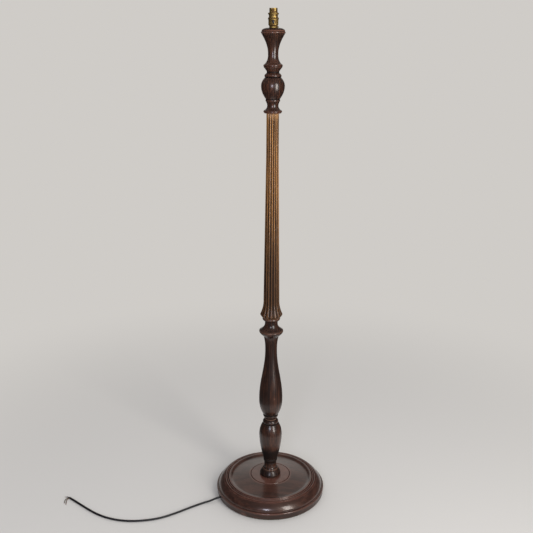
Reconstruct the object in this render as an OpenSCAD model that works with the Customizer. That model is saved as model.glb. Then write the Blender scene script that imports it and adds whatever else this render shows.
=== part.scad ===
// Candlestick floor lamp: a turned hardwood standard with a dished base, a fluted
// column, a dark turned capital and a brass bayonet lampholder with a push-bar switch.
// Millimetres. +Z up, origin on the floor at the middle of the base, -Y is the front.

/* [Base] */
// Diameter of the base over its plinth
base_d = 381; // [372:1:420]
// Height of the column's seat above the floor
base_h = 64; // [62:1:76]
// Thickness of the baize glued under the base
baize_t = 2; // [1:0.5:4]
// Height of the plinth's top edge above the floor
plinth_h = 26; // [24:1:30]
// Width of the flat step on top of the plinth
plinth_step = 6.5; // [5:0.5:10]
cushion_full = 1.8; // [1.5:0.1:2.2]
// Distance of the rim round the dished top inside the plinth's edge
rim_inset = 42.5; // [40:0.5:52]
// Height of the rim above the floor
rim_h = 57; // [56:1:61]
// Width of the slope from the rim down into the dish
dish_slope = 17; // [12:0.5:28]
// Height of the dished top at its lowest
dish_h = 52; // [50:1:54]
// Diameter of the scribed ring round the column
ring_d = 138; // [110:1:160]
// Thickness of the plinth round the hollow under the base
plinth_wall = 40.5; // [36:0.5:60]
// Height of the hollow's ceiling above the floor
recess_h = 17; // [15:1:20]

/* [Column] */
// Length of the foot section, from the base to its twin bead
foot_len = 221; // [205:1:240]
// Length of the baluster section
baluster_len = 374; // [350:1:400]
// Length of the fluted section
fluted_len = 673; // [640:1:700]
// Length of the capital
capital_len = 251; // [245:1:262]
// Bore for the flex through every section
bore_d = 10; // [9:0.5:12]
// Gap round a spigot in its socket
spigot_gap = 0.1; // [0.05:0.05:0.3]

/* [Foot section] */
// Diameter of the foot ring on the base
foot_d = 72.6; // [68:0.2:80]
// Diameter of the neck above the foot
foot_neck_d = 42; // [40:0.5:48]
// Greatest diameter of the vase
vase_d = 80; // [70:1:90]
// Diameter of the tenon that passes through the base
tenon_d = 32; // [28:1:34]
// Diameter of the circle that the screws from below stand on
foot_screw_pcd = 50; // [46:1:54]

/* [Baluster section] */
// Diameter of the twin beads at the lower joint
joint_bead_d = 53; // [50:0.5:58]
// Greatest diameter of the baluster
baluster_d = 80.6; // [70:0.2:90]
// Least diameter of the baluster
baluster_neck_d = 40.2; // [38:0.2:46]
// Diameter of the sharp collar
collar_d = 81.2; // [70:0.2:90]
// Diameter of the bead under the fluted section
seat_bead_d = 59.2; // [56:0.2:64]
// Diameter of the spigot into the foot section
baluster_spigot_d = 24; // [20:1:26]
// Length of the spigot into the foot section
baluster_spigot_len = 35; // [25:1:45]

/* [Fluted section] */
// Diameter over the flared foot of the flutes
flare_d = 74.2; // [68:0.2:80]
// Height of the flare
flare_h = 60; // [55:1:70]
// Diameter of the shaft above the flare
shaft_low_d = 52.4; // [48:0.2:58]
// Diameter of the shaft where its taper ends
shaft_high_d = 39.4; // [38:0.2:44]
// Length of the shaft above the taper
shaft_top_len = 132; // [60:1:200]
// Number of flutes round the shaft
flute_count = 16; // [12:1:18]
// Depth of a flute at the shaft's foot
flute_depth_low = 2.2; // [1.5:0.1:2.6]
// Depth of a flute at the shaft's top
flute_depth_high = 1.7; // [1:0.1:2]
// Radius of the flute's hollow at the shaft's foot
flute_r_low = 5.3; // [4.6:0.1:6]
// Radius of the flute's hollow at the shaft's top
flute_r_high = 3.9; // [3.4:0.1:4.4]
// Diameter of the spigot into the baluster
fluted_spigot_d = 26; // [22:1:28]
// Length of the spigot into the baluster
fluted_spigot_len = 40; // [30:1:50]

/* [Capital] */
// Diameter of the ring on the fluted shaft
capital_ring_d = 58; // [54:1:64]
// Greatest diameter of the ball
ball_d = 73.4; // [66:0.2:80]
// Diameter of the upper ring
upper_ring_d = 59.4; // [54:0.2:66]
// Least diameter of the trumpet
trumpet_neck_d = 31.6; // [30:0.2:38]
// Diameter of the trumpet's rim
cap_d = 75; // [68:1:82]
// Diameter of the spigot into the fluted section
capital_spigot_d = 20; // [17:1:22]
// Length of the spigot into the fluted section
capital_spigot_len = 35; // [25:1:45]

/* [Flex] */
// Diameter of the flex
flex_d = 6.8; // [6:0.1:7]
// Diameter of one insulated core
core_d = 2.2; // [1.8:0.1:2.4]
// Direction in which the flex leaves the base, from +X
exit_angle = 203; // [195:1:210]
// Radius of the flex's bend inside the base
bend_r = 27; // [24:1:30]

/* [Lampholder] */
// Inside diameter of the bayonet barrel
barrel_bore_d = 22.4; // [22.2:0.1:22.8]
// Outside diameter of the bayonet sleeve
sleeve_d = 24.4; // [24.2:0.1:26]
// Outside diameter of the threaded shade seat
shade_seat_d = 27; // [26.6:0.1:28]
// Outside diameter of the shade ring
shade_ring_d = 32.4; // [31:0.2:36]
// Height of the shade ring
shade_ring_h = 5; // [4:0.5:6]
// Diameter of the lampholder's body
body_d = 30; // [29:0.5:32]
// Thickness of the body's brass wall
body_wall = 1.5; // [1:0.1:1.6]
// Height of the body up to its rim
body_h = 23.6; // [23.2:0.2:25]
// Diameter of the body's neck on the wood
neck_d = 24.6; // [22:0.2:26]
// Height of the whole lampholder
holder_h = 56; // [54:1:60]
// Outside diameter of the threaded nipple
nipple_d = 9.8; // [9:0.1:10]
// Length of the nipple in the wood
nipple_depth = 22; // [15:1:30]
// Width of the switch bar
bar_w = 6.4; // [5.6:0.2:7]
// Height of the switch bar
bar_h = 10.4; // [9:0.2:10.8]
// Travel of the switch bar
bar_travel = 6; // [5:0.5:7]
// Length of the bar that stands proud at the front
bar_proud = 7; // [7:0.5:9]
// Distance between the two contact plungers
plunger_pitch = 10; // [9.4:0.2:11]
// Spring travel of a contact plunger
plunger_travel = 4; // [2:0.5:4]
// Running gap round moving pieces
run_gap = 0.06; // [0.03:0.01:0.09]

/* [Hidden] */

$fn = 64;
eps = 0.5;                       // how far a cutter runs past the face it opens

mahogany = "#4a2a22";
golden_wood = "#8a5a2c";
dark_wood = "#3b2722";
aged_brass = "#c2a15a";
copper = "#b0683a";
steel = "#8d8f93";
bakelite = "#15151a";
flex_black = "#101012";
brown_core = "#6b3a1e";
blue_core = "#1b2440";
earth_core = "#6f7a35";

// Heights of the joints between the sections above the floor
joint_1 = base_h + foot_len;
joint_2 = joint_1 + baluster_len;
joint_3 = joint_2 + fluted_len;
holder_z = joint_3 + capital_len;

// ---------------------------------------------------------------- turned outlines
// A turned outline is a list of [radius, height] points. Each helper draws one moulding
// from point a up to point b, and leaves b itself for the next one to start from.
steps = 8;

// Leaves a upright and bends away to b; a larger p stays full for longer.
function leave_upright(a, b, p, n = steps) =
    [for (i = [0:n - 1]) let(s = i / n)
        [b[0] + (a[0] - b[0]) * (1 - pow(s, p)), a[1] + (b[1] - a[1]) * s]];
// Leaves a at once and arrives at b upright.
function arrive_upright(a, b, p, n = steps) =
    [for (i = [0:n - 1]) let(s = i / n)
        [a[0] + (b[0] - a[0]) * (1 - pow(1 - s, p)), a[1] + (b[1] - a[1]) * s]];
// An S curve, upright at both ends.
function sway(a, b, n = steps) =
    [for (i = [0:n - 1]) let(s = i / n)
        [a[0] + (b[0] - a[0]) * (1 - cos(180 * s)) / 2, a[1] + (b[1] - a[1]) * s]];
// A quarter round that leaves a upright and arrives level at b.
function quarter_up(a, b, n = steps) =
    [for (i = [0:n - 1]) let(t = 90 * i / n)
        [a[0] + (b[0] - a[0]) * (1 - cos(t)), a[1] + (b[1] - a[1]) * sin(t)]];
// A quarter round that leaves a level and arrives upright at b.
function quarter_out(a, b, n = steps) =
    [for (i = [0:n - 1]) let(t = 90 * i / n)
        [a[0] + (b[0] - a[0]) * sin(t), a[1] + (b[1] - a[1]) * (1 - cos(t))]];
// A bead on a column that bulges out by "proud" between a and b.
function bead(a, b, proud, n = steps) =
    [for (i = [0:n - 1]) let(s = i / n)
        [a[0] + (b[0] - a[0]) * s + proud * sin(180 * s), a[1] + (b[1] - a[1]) * s]];
// A bead on a flat top, "high" above the line from a in to b.
function flat_bead(a, b, high, n = steps) =
    [for (i = [0:n - 1]) let(s = i / n)
        [a[0] + (b[0] - a[0]) * s, a[1] + (b[1] - a[1]) * s + high * sin(180 * s)]];

// A solid turned from an outline, closed on the axis.
module turned(outline) {
    first = outline[0];
    last = outline[len(outline) - 1];
    rotate_extrude() polygon(concat([[0, first[1]]], outline, [[0, last[1]]]));
}

// A cutter for a round hole on the axis that opens both faces.
module bore(z0, z1, d = bore_d) {
    translate([0, 0, z0 - eps]) cylinder(h = z1 - z0 + 2 * eps, d = d);
}

// A bar along Y from y0 to y1 whose section is a slot shape, w wide and h high.
module slot_bar(w, h, y0, y1) {
    for (side = [-1, 1])
        translate([0, y0, side * (h - w) / 2]) rotate([-90, 0, 0]) cylinder(h = y1 - y0, d = w);
    translate([-w / 2, y0, -(h - w) / 2]) cube([w, y1 - y0, h - w]);
}

// ---------------------------------------------------------------- base
base_r = base_d / 2;
rim_r = base_r - rim_inset;
dish_r = rim_r - dish_slope;
ring_r = ring_d / 2;
recess_r = base_r - plinth_wall;
flex_r = flex_d / 2;
flex_hole_gap = 0.5;                           // gap round the flex in its hole
exit_hole_d = flex_d + 2 * flex_hole_gap;
flex_run_z = recess_h - exit_hole_d / 2 - 0.1; // the flex runs under the hollow's ceiling
edge_r = 3;                                    // rounding of the plinth's edges
foot_chamfer = 4.5;                            // the plinth's foot is set in by this
quirk = 2;                                     // depth of the cut beside a moulding
quirk_w = 1;                                   // width of that cut
lip_w = 3.5;                                   // flat width of the rim
inner_bead_w = 5;                              // width of the base's inner bead
outer_bead_w = 7;                              // width of the base's outer bead
inner_bead_h = 2.5;                            // height of the inner bead
outer_bead_h = 2;                              // height of the outer bead
inner_shelf_z = rim_h - 3;                     // shelf that the inner bead stands on
outer_shelf_z = rim_h - 4;                     // shelf that the outer bead stands on
inner_bead_r = rim_r + 2 * quirk_w + inner_bead_w;
cushion_r = inner_bead_r + outer_bead_w;       // inner radius of the big round moulding
scribe_w = 3;                                  // width of the scribed ring
screw_gap = 0.2;                               // gap round a screw in its clearance hole
screw_d = 4.2;
screw_head_d = 9;
screw_head_h = 4;
screw_bite = 13;                               // length of a screw in the column's foot

// Outline of the base, from the plinth's foot up and in to the column's seat.
function base_outline() = concat(
    // plinth
    quarter_out([base_r - foot_chamfer, baize_t], [base_r - 1.5, baize_t + edge_r], 4),
    [[base_r - 1.5, baize_t + edge_r]],
    quarter_up([base_r, plinth_h - edge_r], [base_r - edge_r, plinth_h], 4),
    [[base_r - edge_r, plinth_h], [base_r - plinth_step, plinth_h + 0.5]],
    // big round moulding and the cut inside it
    leave_upright([base_r - plinth_step, plinth_h + 1], [cushion_r + 2 * quirk_w, outer_shelf_z],
                  cushion_full, 14),
    [[cushion_r + 2 * quirk_w, outer_shelf_z], [cushion_r + quirk_w, outer_shelf_z - quirk],
     [cushion_r, outer_shelf_z - quirk]],
    // two beads
    flat_bead([cushion_r, outer_shelf_z], [inner_bead_r, outer_shelf_z], outer_bead_h),
    [[inner_bead_r, outer_shelf_z]],
    flat_bead([inner_bead_r, inner_shelf_z], [inner_bead_r - inner_bead_w, inner_shelf_z], inner_bead_h),
    [[inner_bead_r - inner_bead_w, inner_shelf_z], [rim_r + quirk_w, inner_shelf_z]],
    // rim and the slope down into the dish
    [[rim_r, rim_h - 0.5], [rim_r - 0.5, rim_h]],
    [for (i = [0:10]) let(s = i / 10)
        [rim_r - lip_w - (rim_r - lip_w - dish_r) * s,
         dish_h + (rim_h - dish_h) * (1 + cos(180 * s)) / 2]],
    // scribed ring
    [[ring_r + scribe_w / 2, base_h - 0.4], [ring_r, base_h - 0.4 - quirk],
     [ring_r - scribe_w / 2, base_h]]);

// Room for the flex to bend from the column's bore out under the base.
module flex_channel() {
    width = exit_hole_d;
    rotate([0, 0, exit_angle]) difference() {
        translate([0, -width / 2, recess_h - eps])
            cube([bend_r, width, flex_run_z + bend_r - recess_h + eps]);
        translate([bend_r, width, flex_run_z + bend_r]) rotate([90, 0, 0])
            cylinder(h = 2 * width, r = bend_r - flex_r - flex_hole_gap);
    }
}

module base_disc() {
    color(mahogany) difference() {
        turned(base_outline());
        // hollow under the base
        translate([0, 0, -eps]) cylinder(h = recess_h + eps, r = recess_r);
        // socket for the column's tenon
        bore(recess_h, base_h, tenon_d + 2 * spigot_gap);
        flex_channel();
        // hole for the flex through the plinth
        rotate([0, 0, exit_angle]) translate([recess_r - 5, 0, flex_run_z]) rotate([0, 90, 0])
            cylinder(h = base_r - recess_r + 10, d = exit_hole_d);
        base_screw_places() {
            bore(recess_h, base_h, screw_d + 2 * screw_gap);
            translate([0, 0, recess_h - 0.01]) cylinder(h = screw_head_h,
                d1 = screw_head_d + 2 * screw_gap, d2 = screw_d + 2 * screw_gap);
        }
        clip_screw_places() translate([0, 0, recess_h - eps]) cylinder(h = clip_screw_len, d = clip_screw_d);
    }
}

module base_baize() {
    color("#2f4a35") cylinder(h = baize_t, r = base_r - foot_chamfer - 0.5);
}

module base_screw_places() {
    for (i = [0:2]) rotate([0, 0, exit_angle + 60 + 120 * i])
        translate([foot_screw_pcd / 2, 0, 0]) children();
}

module base_screws() {
    color(steel) base_screw_places() translate([0, 0, recess_h]) {
        cylinder(h = screw_head_h, d1 = screw_head_d, d2 = screw_d);
        cylinder(h = base_h + screw_bite - recess_h, d = screw_d);
    }
}

clip_at = 105;                   // distance of the clip from the middle of the base
clip_w = 9;
clip_t = 1.5;
clip_screw_d = 3;
clip_screw_len = 12;
clip_screw_head_d = 6;
clip_screw_head_h = 1.8;
clip_screw_y = flex_r + clip_t + clip_screw_head_d / 2 + 1;

module clip_screw_places() {
    rotate([0, 0, exit_angle]) for (side = [-1, 1])
        translate([clip_at, side * clip_screw_y, 0]) children();
}

module flex_clip() {
    ear = clip_screw_head_d / 2 + 1;
    color(bakelite) rotate([0, 0, exit_angle]) translate([clip_at - clip_w / 2, 0, 0]) difference() {
        union() {
            translate([0, -clip_screw_y - ear, recess_h - clip_t])
                cube([clip_w, 2 * (clip_screw_y + ear), clip_t]);
            translate([0, 0, flex_run_z]) rotate([0, 90, 0]) cylinder(h = clip_w, r = flex_r + clip_t);
            translate([0, -flex_r - clip_t, flex_run_z])
                cube([clip_w, flex_d + 2 * clip_t, recess_h - flex_run_z]);
        }
        translate([-eps, 0, flex_run_z]) rotate([0, 90, 0])
            cylinder(h = clip_w + 2 * eps, r = flex_r + 0.05);
        translate([-eps, -flex_r - 0.05, flex_run_z])
            cube([clip_w + 2 * eps, flex_d + 0.1, 2 * flex_d]);
        for (side = [-1, 1]) translate([clip_w / 2, side * clip_screw_y, recess_h - clip_t - eps])
            cylinder(h = clip_t + 2 * eps, d = clip_screw_d);
    }
}

module flex_clip_screws() {
    color(steel) clip_screw_places() translate([0, 0, recess_h - clip_t - clip_screw_head_h]) {
        cylinder(h = clip_screw_head_h, d1 = clip_screw_head_d - 1.6, d2 = clip_screw_head_d);
        cylinder(h = clip_screw_len, d = clip_screw_d - 0.1);
    }
}

// ---------------------------------------------------------------- foot section
foot_r = foot_d / 2;
foot_neck_r = foot_neck_d / 2;
vase_r = vase_d / 2;
joint_bead_r = joint_bead_d / 2;
joint_neck_r = joint_bead_r - 5; // radius in the groove between the twin beads

function foot_outline(z, top) = concat(
    // foot ring
    quarter_out([foot_r - 2, z], [foot_r, z + 4], 4),
    leave_upright([foot_r, z + 6], [foot_r - 8.5, z + 22], 1.4),
    [[foot_r - 8.5, z + 22], [foot_r - 9.6, z + 22.6], [foot_r - 9.6, z + 23.4]],
    // small quarter round and the hollow neck
    quarter_up([foot_r - 9.3, z + 24], [foot_r - 12, z + 27.5], 5),
    arrive_upright([foot_r - 12.2, z + 28], [foot_neck_r, z + 40], 2),
    [[foot_neck_r, z + 40], [foot_neck_r + 0.4, z + 50], [foot_neck_r, z + 52]],
    // bead
    bead([foot_neck_r + 0.4, z + 53], [foot_neck_r + 1.6, z + 66], 1.8),
    // vase
    arrive_upright([foot_neck_r + 3.2, z + 66.5], [vase_r - 0.4, top - 66], 1.65, 14),
    leave_upright([vase_r, top - 63], [joint_bead_r + 0.8, top - 17.5], 2.2, 12),
    // lower bead of the pair
    bead([joint_bead_r - 0.9, top - 17], [joint_neck_r + 0.6, top - 3], 2.8, 10),
    [[joint_neck_r + 0.6, top - 3], [joint_neck_r, top - 2], [joint_neck_r, top]]);

module foot_column() {
    color(dark_wood) difference() {
        union() {
            turned(foot_outline(base_h, joint_1));
            translate([0, 0, recess_h]) cylinder(h = base_h - recess_h + 1, d = tenon_d);
        }
        bore(recess_h, joint_1);
        flex_channel();
        bore(joint_1 - baluster_spigot_len, joint_1, baluster_spigot_d + 2 * spigot_gap);
        base_screw_places() translate([0, 0, base_h - eps])
            cylinder(h = screw_bite + 2 * eps, d = screw_d + 0.1);
    }
}

// ---------------------------------------------------------------- baluster section
baluster_r = baluster_d / 2;
baluster_neck_r = baluster_neck_d / 2;
collar_r = collar_d / 2;
seat_bead_r = seat_bead_d / 2;
collar_neck_r = baluster_neck_r + 1.4;
collar_drop = 48;                // depth of the collar's rim below the upper joint

function baluster_outline(z, top) = concat(
    // upper bead of the pair
    [[joint_neck_r, z], [joint_neck_r + 0.4, z + 3]],
    bead([joint_neck_r + 0.8, z + 5], [joint_bead_r - 1.6, z + 17.5], 2.4, 10),
    // baluster
    arrive_upright([joint_bead_r - 0.9, z + 17.5], [baluster_r, z + 76], 2.5, 14),
    sway([baluster_r, z + 78], [baluster_neck_r, top - 117], 20),
    leave_upright([baluster_neck_r, top - 117], [baluster_neck_r + 5.6, top - 66.5], 2.6, 10),
    [[baluster_neck_r + 5.6, top - 66.5]],
    // sharp collar
    arrive_upright([baluster_neck_r + 6.5, top - 65], [collar_r, top - collar_drop], 1.5, 10),
    quarter_up([collar_r, top - collar_drop + 1], [collar_r - 3, top - collar_drop + 4], 5),
    [[collar_r - 3, top - collar_drop + 4]],
    // neck and the bead under the fluted section
    arrive_upright([collar_r - 3.6, top - collar_drop + 5.5], [collar_neck_r, top - 18], 2.6, 12),
    leave_upright([collar_neck_r, top - 18], [seat_bead_r - 3.5, top - 8], 2),
    bead([seat_bead_r - 2, top - 7.5], [seat_bead_r - 1, top], 1.5),
    [[seat_bead_r - 1, top]]);

module baluster() {
    spigot_z = joint_1 - baluster_spigot_len;
    color(dark_wood) difference() {
        union() {
            turned(baluster_outline(joint_1, joint_2));
            translate([0, 0, spigot_z]) cylinder(h = baluster_spigot_len + 1, d = baluster_spigot_d);
        }
        bore(spigot_z, joint_2);
        bore(joint_2 - fluted_spigot_len, joint_2, fluted_spigot_d + 2 * spigot_gap);
    }
}

// ---------------------------------------------------------------- fluted section
flare_r = flare_d / 2;
shaft_low_r = shaft_low_d / 2;
shaft_high_r = shaft_high_d / 2;
flare_rim_z = 13;                // height of the flare's rim above the joint

// The flare's hollow is an arc that ends upright on the shaft.
flare_fall = flare_r - shaft_low_r;
flare_rise = flare_h - flare_rim_z;
flare_arc_r = (flare_fall * flare_fall + flare_rise * flare_rise) / (2 * flare_fall);
flare_arc = asin(flare_rise / flare_arc_r);

function fluted_outline(z, top) = concat(
    // underside of the flare
    [[seat_bead_r - 1, z]],
    arrive_upright([seat_bead_r - 1, z + 0.5], [flare_r, z + flare_rim_z - 1], 1.3),
    [[flare_r, z + flare_rim_z - 1]],
    // hollow of the flare
    [for (i = [0:12]) let(t = flare_arc * (1 - i / 12))
        [shaft_low_r + flare_arc_r * (1 - cos(t)), z + flare_h - flare_arc_r * sin(t)]],
    // shaft
    [[shaft_high_r, top - shaft_top_len], [shaft_high_r - 0.3, top]]);

// One flute: a tapered cutter up the shaft, a ring piece down the hollow of the flare
// and a smaller ring piece that curls under its rim.
module flute(z, top) {
    low_out = flute_r_low - flute_depth_low;     // cutter's centre outside the surface
    low_x = shaft_low_r + low_out;
    high_x = shaft_high_r - flute_depth_high + flute_r_high;
    rise = top - shaft_top_len - z - flare_h;
    lean = atan2(low_x - high_x, rise);
    translate([low_x, 0, z + flare_h]) rotate([0, -lean, 0])
        cylinder(h = norm([low_x - high_x, rise]), r1 = flute_r_low, r2 = flute_r_high);
    translate([high_x, 0, top - shaft_top_len]) cylinder(h = shaft_top_len + eps, r = flute_r_high);
    sweep_r = flare_arc_r - low_out;
    translate([low_x + sweep_r, 0, z + flare_h]) rotate([90, 0, 0]) rotate([0, 0, 180])
        rotate_extrude(angle = flare_arc) translate([sweep_r, 0]) circle(r = flute_r_low);
    curl_r = 13;
    translate([flare_r + low_out - curl_r, 0, z + flare_rim_z]) rotate([90, 0, 0]) rotate([0, 0, -60])
        rotate_extrude(angle = 60) translate([curl_r, 0]) circle(r = flute_r_low);
}

module fluted_column() {
    spigot_z = joint_2 - fluted_spigot_len;
    color(golden_wood) difference() {
        union() {
            turned(fluted_outline(joint_2, joint_3));
            translate([0, 0, spigot_z]) cylinder(h = fluted_spigot_len + 1, d = fluted_spigot_d);
        }
        for (i = [0:flute_count - 1]) rotate([0, 0, 360 * (i + 0.5) / flute_count - 90])
            flute(joint_2, joint_3);
        bore(spigot_z, joint_3);
        bore(joint_3 - capital_spigot_len, joint_3, capital_spigot_d + 2 * spigot_gap);
    }
}

// ---------------------------------------------------------------- capital
capital_ring_r = capital_ring_d / 2;
ball_r = ball_d / 2;
upper_ring_r = upper_ring_d / 2;
trumpet_neck_r = trumpet_neck_d / 2;
cap_r = cap_d / 2;
capital_neck_r = trumpet_neck_r + 1.8;
crease_r = ball_r - 12.2;        // radius of the crease above the ball
cap_top_r = 14;                  // radius of the flat seat under the lampholder

function capital_outline(z, top) = concat(
    // ring on the fluted shaft
    [[capital_ring_r - 2.5, z]],
    bead([capital_ring_r - 2.5, z + 0.5], [capital_ring_r - 2, z + 9], 2.3),
    // hollow and small bead
    arrive_upright([capital_ring_r - 3, z + 9.5], [capital_neck_r, z + 23], 2.6),
    leave_upright([capital_neck_r, z + 23], [capital_neck_r + 3, z + 33], 2),
    bead([capital_neck_r + 3.3, z + 34], [capital_neck_r + 4, z + 41.5], 1.5),
    // ball
    arrive_upright([capital_neck_r + 4.4, z + 42.5], [ball_r, z + 81], 2, 12),
    leave_upright([ball_r, z + 82], [crease_r, z + 107.5], 2.1, 12),
    // ring on the ball
    bead([crease_r, z + 107.5], [crease_r - 3, z + 119], 3.2),
    arrive_upright([crease_r - 4, z + 119.5], [crease_r - 5.6, z + 123], 2, 3),
    // upper ring
    leave_upright([crease_r - 5.6, z + 123.5], [upper_ring_r - 0.6, z + 137.5], 1.1),
    bead([upper_ring_r - 1.2, z + 138], [upper_ring_r - 2.5, z + 146.5], 1.8),
    // trumpet
    arrive_upright([upper_ring_r - 4, z + 147], [trumpet_neck_r, z + 176], 3, 12),
    leave_upright([trumpet_neck_r, z + 177], [cap_r - 1.9, top - 17.5], 1.9, 14),
    // its rim, a small cut and the top
    bead([cap_r - 1.9, top - 17], [cap_r - 2.1, top - 10], 2),
    [[cap_r - 2.1, top - 10], [cap_r - 3.3, top - 9.7], [cap_r - 3.3, top - 9.1]],
    quarter_up([cap_r - 2.2, top - 8.7], [cap_top_r, top]),
    [[cap_top_r, top]]);

module capital() {
    spigot_z = joint_3 - capital_spigot_len;
    color(mahogany) difference() {
        union() {
            turned(capital_outline(joint_3, holder_z));
            translate([0, 0, spigot_z]) cylinder(h = capital_spigot_len + 1, d = capital_spigot_d);
        }
        bore(spigot_z, holder_z);
        bore(holder_z - nipple_depth, holder_z, nipple_d + 2 * spigot_gap);
    }
}

// ---------------------------------------------------------------- flex
sheath_top = holder_z + 5;       // the sheath ends inside the nipple
exit_r = base_r - 1;             // the inner flex hands over to the free flex here

module flex_inner() {
    bend_z = flex_run_z + bend_r;
    color(flex_black) {
        translate([0, 0, bend_z]) cylinder(h = sheath_top - bend_z, d = flex_d);
        rotate([0, 0, exit_angle]) {
            translate([bend_r, 0, bend_z]) rotate([90, 0, 0]) rotate([0, 0, 180])
                rotate_extrude(angle = 90) translate([bend_r, 0]) circle(d = flex_d);
            translate([bend_r, 0, flex_run_z]) rotate([0, 90, 0]) cylinder(h = exit_r - bend_r, d = flex_d);
        }
    }
}

// Route of the free flex over the floor, drawn for a base of this radius that it leaves
// in this direction. Each point is [x, y, lift]: lift 1 is the height of the hole, 0 the floor.
ROUTE_ANGLE = 203;
ROUTE_BASE_R = 190.5;
FLEX_ROUTE = [
    [-180, -76.4, 1], [-190, -80.4, 0.88], [-201, -84.5, 0.62], [-214, -88.5, 0.28],
    [-228, -92.5, 0.06], [-244, -101, 0], [-262, -112.5, 0], [-280, -124.5, 0],
    [-298, -137, 0], [-316, -149.5, 0], [-334, -161, 0], [-353, -172, 0],
    [-372, -181, 0], [-392, -188, 0], [-412, -193, 0], [-433, -196.5, 0],
    [-454, -198.5, 0], [-475, -198.5, 0], [-496, -196.5, 0], [-517, -192.5, 0],
    [-537, -186.5, 0], [-556, -179, 0], [-575, -169.5, 0], [-594, -158, 0],
    [-612, -145, 0], [-630, -131, 0], [-648, -116, 0], [-666, -101, 0],
    [-684, -86, 0], [-706, -68.5, 0]];
// Routes of the bare cores, each point [x, y, height of the core's middle].
CORE_BLUE_ROUTE = [[-706.4, -68.2, 4.7], [-711, -65, 4], [-717, -62.5, 2.6], [-725, -60.5, 1.2]];
CORE_BROWN_ROUTE = [[-707.9, -68.7, 2.7], [-710, -71, 2.2], [-712.5, -76, 1.6], [-713, -86, 1.2],
                    [-711, -96, 1.2], [-710, -106, 1.2]];
CORE_EARTH_ROUTE = [[-706.1, -66.8, 2.7], [-710, -66.8, 2], [-716, -70.5, 1.4], [-719, -79, 1.2],
                    [-718.5, -89, 1.2], [-716.5, -98, 1.2]];

function unit(v) = v / norm(v);
function point_at(path, i) = path[max(0, min(len(path) - 1, i))];
// A smooth curve through the route's points, in "n" pieces between each two.
function smooth(p, n) = concat(
    [for (i = [0:len(p) - 2]) for (k = [0:n - 1]) let(
        t = k / n, a = point_at(p, i - 1), b = p[i], c = p[i + 1], d = point_at(p, i + 2))
        0.5 * (2 * b + (c - a) * t + (2 * a - 5 * b + 4 * c - d) * t * t
               + (3 * b - a - 3 * c + d) * t * t * t)],
    [p[len(p) - 1]]);

// A tube swept along a path of points, with level rings of "sides" points.
module tube_along(path, d, sides) {
    rings = len(path);
    function heading(i) = unit(point_at(path, i + 1) - point_at(path, i - 1));
    function ring(i) = let(h = heading(i), x = unit(cross(h, [0, 0, 1])), y = cross(x, h))
        [for (k = [0:sides - 1]) let(a = 360 * k / sides) path[i] + d / 2 * (cos(a) * x + sin(a) * y)];
    points = [for (i = [0:rings - 1]) each ring(i)];
    side_faces = [for (i = [0:rings - 2]) for (k = [0:sides - 1]) let(
        here = i * sides + k, beside = i * sides + (k + 1) % sides)
        each [[here, beside, beside + sides], [here, beside + sides, here + sides]]];
    start_face = [for (k = [sides - 1:-1:0]) k];
    end_face = [for (k = [0:sides - 1]) (rings - 1) * sides + k];
    polyhedron(points = points, faces = concat([start_face], side_faces, [end_face]), convexity = 10);
}

// Turns and moves what is drawn on the route so that it leaves the hole in the plinth.
module at_exit() {
    shift = base_r - ROUTE_BASE_R;
    rotate([0, 0, exit_angle - ROUTE_ANGLE])
        translate([shift * cos(ROUTE_ANGLE), shift * sin(ROUTE_ANGLE), 0]) children();
}

module flex_free() {
    start_r = exit_r + ROUTE_BASE_R - base_r;
    start = [start_r * cos(ROUTE_ANGLE), start_r * sin(ROUTE_ANGLE), flex_run_z];
    laid = [for (p = FLEX_ROUTE) [p[0], p[1], flex_r + p[2] * (flex_run_z - flex_r)]];
    color(flex_black) at_exit() tube_along(smooth(concat([start], laid), 2), flex_d, 10);
}

module bare_core(route) {
    at_exit() tube_along(smooth(route, 2), core_d, 8);
}
module core_brown() { color(brown_core) bare_core(CORE_BROWN_ROUTE); }
module core_blue() { color(blue_core) bare_core(CORE_BLUE_ROUTE); }
module core_earth() { color(earth_core) bare_core(CORE_EARTH_ROUTE); }

// ---------------------------------------------------------------- lampholder
// The wall of the body stands from here up, above the rounded shoulder.
shoulder_z = holder_z + 9.5;
body_r = body_d / 2;
neck_r = neck_d / 2;
cavity_r = body_r - body_wall;
cavity_z = holder_z + 6.5;                      // floor of the body's cavity
block_z = holder_z + body_h;                    // the terminal block sits on the body's rim
block_flange_h = 1.5;
block_boss_h = 0.6;                             // part of the block that reaches into the body
block_top = block_z + 12;
barrel_z = block_z + block_flange_h;
barrel_flange_h = 1.5;
barrel_top = holder_z + holder_h;
clamp_top = barrel_z + barrel_flange_h + 2.5;
seat_top = barrel_top - 13;                     // top of the threaded shade seat
shade_ring_top = seat_top - 0.5;
nipple_top = holder_z + 6;
ring_edge = 0.8;                                // step round the edge of a ring

module nipple() {
    length = nipple_depth + nipple_top - holder_z;
    color(aged_brass) translate([0, 0, holder_z - nipple_depth]) difference() {
        cylinder(h = length, d = nipple_d);
        translate([0, 0, -eps]) cylinder(h = length + 2 * eps, d = flex_d + 0.2);
    }
}

earth_azimuth = 140;
earth_z = holder_z + 13;
lock_z = holder_z + 2.4;
lock_d = 2.9;

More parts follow.
